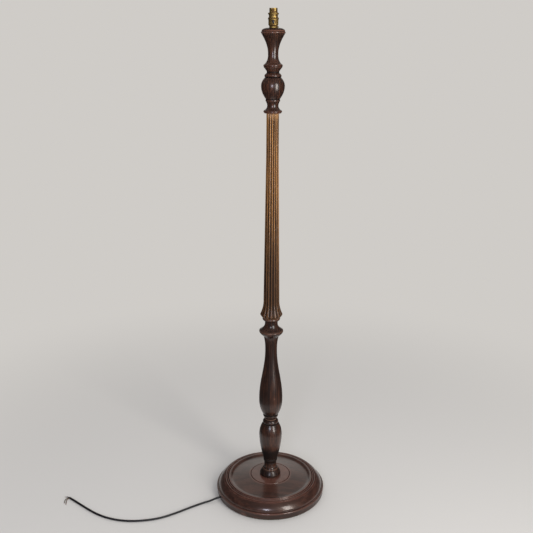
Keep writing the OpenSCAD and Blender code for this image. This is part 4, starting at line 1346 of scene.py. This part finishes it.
@dataclass
class FlutedSection:
    """The long tapered shaft, its flutes and the flare that they run out over."""

    shop: Workshop
    heights: Heights
    seat_r: float = 28.6
    flare_r: float = 37.1
    flare_h: float = 60.0
    flare_rim: float = 13.0
    low_r: float = 26.2
    high_r: float = 19.7
    top_len: float = 132.0
    flutes: int = 16
    depths: Point2 = (2.2, 1.7)
    scoops: Point2 = (5.3, 3.9)
    bore_r: float = COLUMN_BORE_R
    spigot: Point2 = (13.0, 40.0)
    socket: Point2 = (10.1, 35.0)

    def outline(self) -> Outline:
        """The section's outline before the flutes are carved."""
        z, top = self.heights.joint_2, self.heights.joint_3
        fall, rise = self.flare_r - self.low_r, self.flare_h - self.flare_rim
        arc_r = (fall * fall + rise * rise) / (2 * fall)
        arc = math.asin(rise / arc_r)
        angles = [arc * (1 - i / 30) for i in range(31)]
        return (
            [(self.seat_r, z)]
            + arrive_upright((self.seat_r, z + 0.5), (self.flare_r, z + self.flare_rim - 1), 1.3, 12)
            + [(self.flare_r, z + self.flare_rim - 1)]
            + [
                (self.low_r + arc_r * (1 - math.cos(t)), z + self.flare_h - arc_r * math.sin(t))
                for t in angles
            ]
            + rule((self.low_r, z + self.flare_h + 8), (self.high_r, top - self.top_len), 24)
            + rule((self.high_r, top - self.top_len), (self.high_r - 0.3, top), 6)
            + [(self.high_r - 0.3, top)]
        )

    def make(self) -> None:
        """Turns the shaft, then carves its flutes by the rule of the scoop."""
        z, top = self.heights.joint_2, self.heights.joint_3
        inside = bored(self.socket, top, self.bore_r, self.spigot, z)
        wood = lathe("fluted_wood", self.outline() + inside, 16 * self.flutes)
        mark(wood, lambda r, h: 1.0 if r > self.high_r - 1 and z - 0.1 < h < top + 0.1 else 0.0)
        run_tree(wood, self.shop.trees.flutes, {
            "Flutes": self.flutes,
            "Flare Top": (z + self.flare_h) * MM,
            "Taper End": (top - self.top_len) * MM,
            "Low Depth": self.depths[0] * MM,
            "High Depth": self.depths[1] * MM,
            "Low Scoop": self.scoops[0] * MM,
            "High Scoop": self.scoops[1] * MM,
            "Start": (z + 1) * MM,
            "Full": (z + 9) * MM,
            "Material": self.shop.finishes.made["golden_wood"],
        })
        shade(wood.data, 50.0)
        self.shop.done(wood, "golden_wood", Body.STANDARD, ["fluted_column"])


@dataclass
class Capital:
    """The dark turned capital: ring, ball, upper ring and trumpet."""

    shop: Workshop
    heights: Heights
    ring_r: float = 29.0
    ball_r: float = 36.7
    upper_r: float = 29.7
    trumpet_r: float = 15.8
    cap_r: float = 37.5
    seat_r: float = 14.0
    bore_r: float = COLUMN_BORE_R
    spigot: Point2 = (10.0, 35.0)
    nipple: Point2 = (5.0, 22.0)

    def outline(self) -> Outline:
        """The capital's outline, from its ring on the shaft up."""
        z, top = self.heights.joint_3, self.heights.holder
        neck, crease, ring, cap = self.trumpet_r + 1.8, self.ball_r - 12.2, self.ring_r, self.cap_r
        return (
            [(ring - 2.5, z)]
            + bead((ring - 2.5, z + 0.5), (ring - 2, z + 9), 2.3)
            + arrive_upright((ring - 3, z + 9.5), (neck, z + 23), 2.6)
            + leave_upright((neck, z + 23), (neck + 3, z + 33), 2, 12)
            + bead((neck + 3.3, z + 34), (neck + 4, z + 41.5), 1.5, 12)
            + arrive_upright((neck + 4.4, z + 42.5), (self.ball_r, z + 81), 2, 30)
            + leave_upright((self.ball_r, z + 82), (crease, z + 107.5), 2.1, 28)
            + bead((crease, z + 107.5), (crease - 3, z + 119), 3.2)
            + arrive_upright((crease - 4, z + 119.5), (crease - 5.6, z + 123), 2, 6)
            + leave_upright((crease - 5.6, z + 123.5), (self.upper_r - 0.6, z + 137.5), 1.1, 14)
            + bead((self.upper_r - 1.2, z + 138), (self.upper_r - 2.5, z + 146.5), 1.8, 14)
            + arrive_upright((self.upper_r - 4, z + 147), (self.trumpet_r, z + 176), 3, 28)
            + leave_upright((self.trumpet_r, z + 177), (cap - 1.9, top - 17.5), 1.9, 34)
            + bead((cap - 1.9, top - 17), (cap - 2.1, top - 10), 2, 12)
            + [(cap - 2.1, top - 10), (cap - 3.3, top - 9.7), (cap - 3.3, top - 9.1)]
            + quarter_up((cap - 2.2, top - 8.7), (self.seat_r, top), 16)
            + [(self.seat_r, top)]
        )

    def make(self) -> None:
        """Turns the capital with its spigot, bore and nipple hole."""
        z, top = self.heights.joint_3, self.heights.holder
        inside = [
            (self.nipple[0], top),
            (self.nipple[0], top - self.nipple[1]),
            (self.bore_r - 0.01, top - self.nipple[1] - 0.1),
            (self.bore_r - 0.01, z - self.spigot[1]),
            (self.spigot[0], z - self.spigot[1]),
            (self.spigot[0], z),
        ]
        wood = lathe("capital_wood", self.outline() + inside, COLUMN_STEPS)
        # Painted shade: the cap's rim and the upper trumpet are drawn darker, standing in for their shade and
        # dark reflections.
        paint_shade_band(wood, (top - 9.0, top + 1.0), 0.6)
        paint_shade_band(wood, (top - 62.0, top - 17.5), 0.5)
        self.shop.done(wood, "mahogany", Body.STANDARD, ["capital"])


@dataclass
class Lampholder:
    """The brass bayonet lampholder with its rings, slots, thread and push bar."""

    shop: Workshop
    z: float
    neck_r: float = 12.3
    body_r: float = 15.0
    wall: float = 1.5
    body_h: float = 23.6
    nipple_r: float = 4.95
    screw_hole_d: float = 3.0
    screw_z: float = 2.4
    shoulder: float = 9.5
    floor: float = 6.5
    top: float = 1639.0
    sleeve_r: float = 12.2
    bore_r: float = 11.2
    lower_bore_r: float = 11.4
    seat_r: float = 13.5
    seat_top: float = 1626.0
    grip_z: float = 1627.6
    clamp: Point2 = (1606.1, 1612.1)
    clamp_r: float = 16.2
    shade: Point2 = (1620.5, 1625.5)
    shade_r: float = 16.2
    edge: float = 0.8
    knurl_depth: float = 0.35
    knurl_clear: float = 0.3
    bar_size: Point2 = (6.4, 10.4)
    bar_z: float = 1599.6
    bar_run: Point2 = (-22.0, 15.5)
    gap: float = 0.06
    slot_at: float = -117.0
    slot_w: float = 3.0
    slot_depth: float = 8.0
    slot_turn: float = 20.0
    slot_seat: float = 1.2
    spring_seat: float = 2.0
    spring_h: float = 6.0
    spring_wire: float = 0.4
    spring_r: float = 2.15
    plunger_pitch: float = 10.0
    plunger_travel: float = 4.0

    @property
    def block_z(self) -> float:
        """Height of the body's rim, where the terminal block sits."""
        return self.z + self.body_h

    def shell(self) -> None:
        """The cup-shaped body with its rounded shoulder and the slot for the bar."""
        z, r, inner = self.z, self.body_r, self.body_r - self.wall
        loop = (
            [(self.neck_r - 0.3, z), (self.neck_r, z + 0.5), (self.neck_r, z + 4.6)]
            + arrive_upright((self.neck_r + 0.3, z + 5), (r, z + self.shoulder), 1.6, 12)
            + rule((r, z + self.shoulder), (r, self.block_z), 6)
            + [
                (r, self.block_z),
                (inner, self.block_z),
                (inner, z + self.shoulder),
                (inner - 4, z + self.floor),
                (self.nipple_r + 0.01, z + self.floor),
                (self.nipple_r + 0.01, z),
            ]
        )
        brass = lathe("holder_shell", loop, 128, 0.25)
        w, h = (size + 2 * self.gap for size in self.bar_size)
        flat = Matrix.Rotation(-math.pi / 2, 4, "X")
        rise = (h - w) / 2
        cutters = [block((-w / 2, -2 * r, self.bar_z - rise), (w / 2, 2 * r, self.bar_z + rise))]
        cutters += [
            rod(w, 4 * r, place(0, -2 * r, self.bar_z + side * rise, flat)) for side in (-1, 1)
        ]
        sideways = Matrix.Rotation(math.pi / 2, 4, "Y")
        cutters.append(rod(self.screw_hole_d, r, place(self.nipple_r, 0, z + self.screw_z, sideways), 24))
        cut(brass, cutters)
        self.shop.done(brass, "brass", Body.STANDARD, ["holder_body"])

    def ring(
        self, name: str, node: str, span: Point2, r: float, steps: Outline, body: Body, grooves: int
    ) -> None:
        """A ring with stepped and knurled edges.

        Args:
            name: Name of the piece.
            node: The frame's node that it stands for.
            span: Its lowest and highest point.
            r: Its outer radius.
            steps: Its inner outline, from its top down.
            body: The body that it rides on.
            grooves: Number of knurls round it.
        """
        lo, hi = span
        loop = (
            [(r - self.edge, lo), (r - self.edge, lo + self.edge)]
            + rule((r, lo + self.edge), (r, hi - self.edge), 6)
            + [(r, hi - self.edge), (r - self.edge, hi - self.edge), (r - self.edge, hi)]
            + steps
        )
        brass = lathe(name, loop, 8 * grooves, 0.25)
        low, high = lo + self.edge + self.knurl_clear, hi - self.edge - self.knurl_clear
        mark(brass, lambda d, h: 1.0 if d > r - self.knurl_clear and low < h < high else 0.0)
        run_tree(brass, self.shop.trees.knurls, {
            "Grooves": grooves, "Depth": self.knurl_depth * MM,
            "Material": self.shop.finishes.made["ring_brass"]})
        shade(brass.data, 45.0)
        self.shop.done(brass, "ring_brass", body, [node], "brass")

    def sleeve(self) -> None:
        """The bayonet barrel: flange, shade seat, sleeve with a rolled lip and two J slots."""
        z = self.block_z + 1.5
        loop = (
            [(self.body_r - 0.1, z), (self.body_r - 0.1, z + 1.5), (self.seat_r, z + 1.5)]
            + rule((self.seat_r, z + 1.6), (self.seat_r, self.seat_top), 4)
            + [(self.seat_r, self.seat_top), (self.sleeve_r, self.seat_top + 0.4)]
            + rule((self.sleeve_r, self.seat_top + 0.6), (self.sleeve_r, self.top - 0.6), 6)
            + [(self.sleeve_r, self.top), (self.bore_r, self.top), (self.bore_r, self.grip_z - 0.5)]
            + [(self.lower_bore_r, self.grip_z - 0.5), (self.lower_bore_r, z)]
        )
        brass = lathe("barrel_sleeve", loop, 128, 0.3)
        low, reach = self.top - self.slot_depth, self.sleeve_r + 2
        cutters = []
        for start in (self.slot_at, self.slot_at + 180):
            turns = ((0.0, self.slot_depth + 1), (-self.slot_turn, self.slot_w + self.slot_seat))
            for turn, height in turns:
                slot = block((self.bore_r - 2, -self.slot_w / 2, low), (reach, self.slot_w / 2, low + height))
                slot.transform(Matrix.Rotation(math.radians(start + turn), 4, "Z"))
                cutters.append(slot)
            cutters.append(self.arc_cutter(start - self.slot_turn, start, self.bore_r - 2, reach, low))
        cut(brass, cutters)
        self.shop.done(brass, "brass", Body.STANDARD, ["barrel"])

    def arc_cutter(self, start: float, end: float, inner: float, outer: float, low: float) -> bpy.types.Mesh:
        """The level run of a J slot, between two angles and two radii."""
        steps = 10
        verts = []
        for k in range(steps + 1):
            t = math.radians(start + (end - start) * k / steps)
            for r, h in ((inner, low), (outer, low), (outer, low + self.slot_w), (inner, low + self.slot_w)):
                verts.append((r * math.cos(t) * MM, r * math.sin(t) * MM, h * MM))
        faces = [(0, 1, 2, 3), tuple(4 * steps + k for k in (3, 2, 1, 0))]
        for k in range(steps):
            for side in range(4):
                a, b = 4 * k + side, 4 * k + (side + 1) % 4
                faces.append((b, a, a + 4, b + 4))
        mesh = bpy.data.meshes.new("cutter")
        mesh.from_pydata(verts, [], faces)
        bm = bmesh.new()
        bm.from_mesh(mesh)
        bmesh.ops.recalc_face_normals(bm, faces=bm.faces)
        bm.to_mesh(mesh)
        bm.free()
        return mesh

    def thread(self) -> None:
        """The thread of the shade seat, below the shade ring."""
        lo, hi, ridge = self.clamp[1] + 0.6, self.shade[0] - 0.6, 0.38
        winding = mesh_object("seat_thread", bpy.data.meshes.new("seat_thread"))
        run_tree(winding, self.shop.trees.winding, {
            "Radius": (self.seat_r - 0.05) * MM, "At": (0.0, 0.0, lo * MM), "Length": (hi - lo) * MM,
            "Turns": 5.0, "Wire": ridge * MM, "Sides": 6,
            "Material": self.shop.finishes.made["thread_brass"]})
        shade(winding.data, 60.0)
        self.shop.done(winding, "thread_brass", Body.STANDARD, slot="brass")

    def springs(self) -> None:
        """The coil springs under the contact plungers."""
        seat, wire = self.block_z + self.spring_seat, self.spring_wire
        for side, name in ((-1, "left"), (1, "right")):
            x = side * self.plunger_pitch / 2
            coil = mesh_object(f"spring_coil_{name}", bpy.data.meshes.new(f"spring_coil_{name}"))
            run_tree(coil, self.shop.trees.winding, {
                "Radius": self.spring_r * MM, "At": (x * MM, 0.0, (seat + wire / 2) * MM),
                "Length": (self.spring_h - wire) * MM, "Turns": 4.0, "Wire": (wire / 2 - 0.01) * MM,
                "Sides": 10, "Material": self.shop.finishes.made["steel"]})
            shade(coil.data, 60.0)
            self.shop.done(coil, "steel", Body.STANDARD, [f"plunger_spring_{name}"])
            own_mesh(coil)

    def push_bar(self) -> None:
        """The bakelite bar with domed ends, its stop lugs and the cut for the bridge."""
        w, h = self.bar_size
        lo, hi = self.bar_run
        bm = bmesh.new()
        round_r, dome, sides = w / 2, 1.3, 16
        section = []
        for k in range(2 * sides + 2):
            up = k <= sides
            t = math.pi * (k if up else k - 1) / sides
            section.append((round_r * math.cos(t), round_r * math.sin(t) + (1 if up else -1) * (h - w) / 2))
        rings = [(lo, 0.55), (lo + 0.12, 0.78), (lo + 0.4, 0.9), (lo + dome, 1.0), (hi - 0.4, 1.0), (hi, 0.9)]
        loops = [
            [bm.verts.new((x * share * MM, y * MM, (self.bar_z + z * share) * MM)) for x, z in section]
            for y, share in rings
        ]
        for a, b in zip(loops, loops[1:]):
            for k in range(len(section)):
                m = (k + 1) % len(section)
                bm.faces.new((a[k], a[m], b[m], b[k]))
        bm.faces.new(loops[0][::-1])
        bm.faces.new(loops[-1])
        bmesh.ops.recalc_face_normals(bm, faces=bm.faces)
        mesh = bpy.data.meshes.new("push_bar")
        bm.to_mesh(mesh)
        bm.free()
        bar = mesh_object("push_bar", mesh)
        seat = self.bar_z + h / 2 - 1
        cut(bar, [block((-w, -4.05, seat), (w, 4.05, seat + h))])
        self.shop.done(bar, "bakelite", Body.SWITCH, ["switch_bar"])

    def make(self) -> None:
        """Makes every part of the lampholder that is seen from outside."""
        self.shell()
        lo, hi = self.clamp
        seat = self.block_z + 3.0
        self.ring("clamp_ring_knurled", "clamp_ring", self.clamp, self.clamp_r, [
            (self.seat_r + 0.05, hi), (self.seat_r + 0.05, seat),
            (self.body_r + 0.05, seat), (self.body_r + 0.05, lo)], Body.STANDARD, 44)
        inner = self.seat_r + self.gap
        self.ring("shade_ring_knurled", "shade_ring", self.shade, self.shade_r, [
            (inner, self.shade[1]), (inner, self.shade[0])], Body.SHADE_RING, 40)
        self.sleeve()
        self.thread()
        self.springs()
        self.push_bar()


FLEX_ROUTE = [
    (-180, -76.4, 1), (-190, -80.4, 0.88), (-201, -84.5, 0.62), (-214, -88.5, 0.28),
    (-228, -92.5, 0.06), (-244, -101, 0), (-262, -112.5, 0), (-280, -124.5, 0),
    (-298, -137, 0), (-316, -149.5, 0), (-334, -161, 0), (-353, -172, 0),
    (-372, -181, 0), (-392, -188, 0), (-412, -193, 0), (-433, -196.5, 0),
    (-454, -198.5, 0), (-475, -198.5, 0), (-496, -196.5, 0), (-517, -192.5, 0),
    (-537, -186.5, 0), (-556, -179, 0), (-575, -169.5, 0), (-594, -158, 0),
    (-612, -145, 0), (-630, -131, 0), (-648, -116, 0), (-666, -101, 0),
    (-684, -86, 0), (-706, -68.5, 0),
]
CORE_ROUTES = {
    "core_blue": [(-706.4, -68.2, 4.7), (-711, -65, 4), (-717, -62.5, 2.6), (-725, -60.5, 1.2)],
    "core_brown": [
        (-707.9, -68.7, 2.7), (-710, -71, 2.2), (-712.5, -76, 1.6), (-713, -86, 1.2),
        (-711, -96, 1.2), (-710, -106, 1.2),
    ],
    "core_earth": [
        (-706.1, -66.8, 2.7), (-710, -66.8, 2), (-716, -70.5, 1.4), (-719, -79, 1.2),
        (-718.5, -89, 1.2), (-716.5, -98, 1.2),
    ],
}


@dataclass
class Flex:
    """The free flex on the floor and the three cores at its cut end."""

    shop: Workshop
    d: float = 6.8
    core_d: float = 2.2
    exit_r: float = 189.5
    exit_angle: float = FLEX_EXIT_ANGLE
    exit_z: float = FLEX_EXIT_Z
    bare: float = 4.0
    strands: int = 9

    def core(self, name: str, route: Sequence[Sequence[float]], seed: int) -> list[Piece]:
        """One insulated core and the tuft of bare wires at its end.

        Args:
            name: Name of the frame's node that it stands for.
            route: The route of its middle.
            seed: Seed of the tuft's spread.

        Returns:
            The core and its tuft.
        """
        path = smooth_route(route, 4)
        heading = (path[-1] - path[-2]).normalized()
        while len(path) > 2 and (path[-1] - Vector(route[-1])).length < self.bare:
            path.pop()
        start = path[-1] - heading * 0.3
        sheath = laid_curve(f"{name}_sheath", path, self.core_d, 4)
        self.shop.done(sheath, name, Body.STANDARD, [name])
        tuft = mesh_object(f"{name}_strands", bpy.data.meshes.new(f"{name}_strands"))
        run_tree(tuft, self.shop.trees.strands, {
            "Strands": self.strands, "Wire": 0.13 * MM, "Core": 0.55 * MM,
            "Length": (Vector(route[-1]) - start).length * MM,
            "Spread": 0.12, "Seed": seed, "At": tuple(start * MM),
            "Turn": tuple(heading.to_track_quat("Z", "Y").to_euler()),
            "Material": self.shop.finishes.made["copper"]})
        shade(tuft.data, 50.0)
        self.shop.done(tuft, "copper", Body.STANDARD)
        return [sheath, tuft]

    def make(self) -> None:
        turn = math.radians(self.exit_angle)
        start = (self.exit_r * math.cos(turn), self.exit_r * math.sin(turn), self.exit_z)
        laid = [(x, y, self.d / 2 + lift * (self.exit_z - self.d / 2)) for x, y, lift in FLEX_ROUTE]
        path = smooth_route([start, *laid], 6)
        sheath = laid_curve("flex_sheath", path, self.d, 7)
        self.shop.done(sheath, "flex_sheath", Body.STANDARD, ["flex_free"])
        ends = []
        for seed, (name, route) in enumerate(CORE_ROUTES.items(), 3):
            ends += self.core(name, route, seed)
        length = sum((b - a).length for a, b in zip(path, path[1:])) * MM
        log.info("free flex: %.3f m", length)


class FramePieces:
    """Frame nodes that stay as they are and only get a better finish."""

    FINISH = {
        "baize": ("base_baize",),
        "steel": ("base_screws", "flex_clip_screws", "terminal_screws"),
        "bakelite": ("flex_clip",),
        "flex_sheath": ("flex_inner",),
        "brass": (
            "nipple", "locking_screw", "earth_screw", "terminal_posts", "plunger_left", "plunger_right",
        ),
        "core_brown": ("wire_brown",),
        "core_blue": ("wire_blue",),
        "core_earth": ("wire_earth",),
        "porcelain": ("terminal_block",),
        "copper": ("switch_bridge", "switch_contacts"),
    }

    def __init__(self, finishes: Finishes, nodes: dict[str, Piece]) -> None:
        """Keeps the finishes and the frame's nodes."""
        self.finishes = finishes
        self.nodes = nodes

    def make(self) -> None:
        """Gives each node its finish."""
        for finish, names in self.FINISH.items():
            for name in names:
                for place_ in self.nodes[name].material_slots:
                    place_.material = self.finishes.made[finish]
                log.info("%s: frame node, %s", name, finish)


# ------------------------------------------------------------------ studio
@dataclass
class Studio:
    """The pale floor, the soft lights and the camera."""

    photo_side: int = 533
    focal_px: float = 740.0
    sensor: float = 36.0
    eye: tuple[float, float, float] = (-0.017, -2.326, 1.539)
    pitch: float = 16.8
    roll: float = 0.28
    backdrop: Colour = (0.625, 0.603, 0.575)
    floor: Colour = (0.6, 0.585, 0.56)
    fill_left: Colour = (0.36, 0.36, 0.38)
    fill_right: Colour = (0.92, 0.91, 0.91)
    fill_back: Colour = (1.0, 0.99, 0.98)
    curtain: Colour = (0.03, 0.026, 0.024)
    ceiling: Colour = (0.24, 0.19, 0.17)
    curtain_r: float = 4.2
    carpet_r: float = 0.6
    curtain_h: float = 3.3

    def camera(self) -> None:
        """The camera at the photograph's viewing angle."""
        data = bpy.data.cameras.new("camera")
        data.sensor_width = self.sensor
        data.lens = self.focal_px / self.photo_side * self.sensor
        data.clip_start, data.clip_end = 0.05, 60.0
        eye = bpy.data.objects.new("camera", data)
        tilt = Matrix.Rotation(math.radians(90 - self.pitch), 4, "X")
        turn = tilt @ Matrix.Rotation(math.radians(self.roll), 4, "Z")
        eye.matrix_world = Matrix.Translation(self.eye) @ turn
        bpy.context.scene.collection.objects.link(eye)
        bpy.context.scene.camera = eye

    def seen(self, g: Graph) -> Socket:
        """1 for rays from the camera, from a mirror or through glass."""
        path = g.node("ShaderNodeLightPath")
        both = g.larger(path.outputs["Is Camera Ray"], path.outputs["Is Glossy Ray"])
        return g.larger(both, path.outputs["Is Transmission Ray"])

    def world(self) -> None:
        """An even pale room: the backdrop's colour where it is seen, a softer fill elsewhere."""
        world = bpy.data.worlds.new("room")
        world.use_nodes = True
        g = Graph(world.node_tree)
        back = world.node_tree.nodes["Background"]
        way = g.node("ShaderNodeSeparateXYZ", {0: g.node("ShaderNodeTexCoord").outputs["Generated"]})
        fill = g.mix(g.ramp(way.outputs[0], -0.9, 0.9), self.fill_left, self.fill_right)
        fill = g.mix(g.ramp(way.outputs[1], 0.1, 0.9), fill, self.fill_back)
        colour = g.mix(self.seen(g), fill, self.backdrop)
        g.feed(back.inputs["Color"], colour)
        back.inputs["Strength"].default_value = 1.0
        bpy.context.scene.world = world

    def ground(self) -> None:
        """A wide floor that keeps the lamp's shadow and runs out into the backdrop."""
        bm = bmesh.new()
        bmesh.ops.create_circle(bm, cap_ends=True, segments=96, radius=9.0)
        mesh = bpy.data.meshes.new("floor")
        bm.to_mesh(mesh)
        bm.free()
        floor = mesh_object("floor", mesh)
        material, g, shader, here = new_material("floor")
        away = g.node("ShaderNodeVectorMath", {0: here}, operation="LENGTH").outputs["Value"]
        g.feed(shader.inputs["Base Color"], (*self.floor, 1.0))
        shader.inputs["Roughness"].default_value = 0.9
        shader.inputs["Specular IOR Level"].default_value = 0.1
        glow = g.node("ShaderNodeEmission", {"Color": (*self.backdrop, 1.0), "Strength": 1.0})
        share = g.times(g.ramp(away, 0.6, 2.1), self.seen(g))
        end = g.node("ShaderNodeMixShader", {0: share, 1: shader, 2: glow})
        g.feed(material.node_tree.nodes["Material Output"].inputs["Surface"], end)
        mesh.materials.append(material)

    def curtains(self) -> None:
        """Dark curtains and carpet and a dim ceiling round the room, which the polish mirrors."""
        bm = bmesh.new()
        steps, first, last = 60, math.radians(112), math.radians(428)
        rail = []
        for k in range(steps + 1):
            turn = first + (last - first) * k / steps
            x, y = math.cos(turn), math.sin(turn)
            r, inner = self.curtain_r, self.carpet_r
            corner = [(inner, 0.003), (r, 0.003), (r, self.curtain_h), (inner, self.curtain_h)]
            rail.append([bm.verts.new((a * x, a * y, z)) for a, z in corner])
        for a, b in zip(rail, rail[1:]):
            for k in range(3):
                bm.faces.new((a[k], a[k + 1], b[k + 1], b[k]))
        bm.faces.new([pair[3] for pair in rail])
        mesh = bpy.data.meshes.new("curtains")
        bm.to_mesh(mesh)
        bm.free()
        material, g, shader, here = new_material("curtains")
        z = g.node("ShaderNodeSeparateXYZ", {0: here}).outputs[2]
        lit = g.ramp(z, 0.8 * self.curtain_h, self.curtain_h)
        shade_ = g.mix(g.noise(here, 1.2, 3.0), self.curtain, tuple(1.8 * c for c in self.curtain))
        g.feed(shader.inputs["Base Color"], g.mix(lit, shade_, self.ceiling))
        shader.inputs["Roughness"].default_value = 0.9
        mesh.materials.append(material)
        cloth = mesh_object("curtains", mesh)
        cloth.visible_camera = cloth.visible_diffuse = cloth.visible_shadow = False

    def lamp(
        self, name: str, at: Sequence[float], aim: Sequence[float], size: Point2, power: float, colour: Colour
    ) -> None:
        """One soft area light.

        Args:
            name: Its name.
            at: Where it stands, in metres.
            aim: What it points at.
            size: Its width and height.
            power: Its power in watts.
            colour: Its colour.
        """
        data = bpy.data.lights.new(name, "AREA")
        data.shape, data.size, data.size_y = "RECTANGLE", size[0], size[1]
        data.energy, data.color = power, colour
        light = bpy.data.objects.new(name, data)
        way = (Vector(aim) - Vector(at)).to_track_quat("-Z", "Y")
        light.matrix_world = Matrix.Translation(at) @ way.to_matrix().to_4x4()
        bpy.context.scene.collection.objects.link(light)

    def make(self) -> None:
        """Sets up the stage, and the plain view transform."""
        self.camera()
        self.world()
        self.ground()
        self.curtains()
        self.lamp("window_right", (1.62, -2.15, 1.4), (0, 0, 1.1), (0.75, 2.2), 58.0, (1.0, 0.98, 0.94))
        self.lamp("window_front", (-0.5, -3.56, 1.75), (0, 0, 0.9), (0.65, 1.0), 38.0, (0.8, 0.84, 1.0))
        bpy.context.scene.view_settings.view_transform = "Standard"


def main() -> None:
    """Loads the frame and builds the lamp in order."""
    logging.basicConfig(level=logging.INFO, format="%(name)s: %(message)s")
    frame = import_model()
    Studio().make()
    shop = Workshop(Finishes(), Trees())
    heights = Heights()
    Flex(shop).make()
    Base(shop, heights).make()
    FootSection(shop, heights).make()
    BalusterSection(shop, heights).make()
    FlutedSection(shop, heights).make()
    Capital(shop, heights).make()
    Lampholder(shop, heights.holder).make()
    FramePieces(shop.finishes, frame["nodes"]).make()


if __name__ == "__main__":
    main()
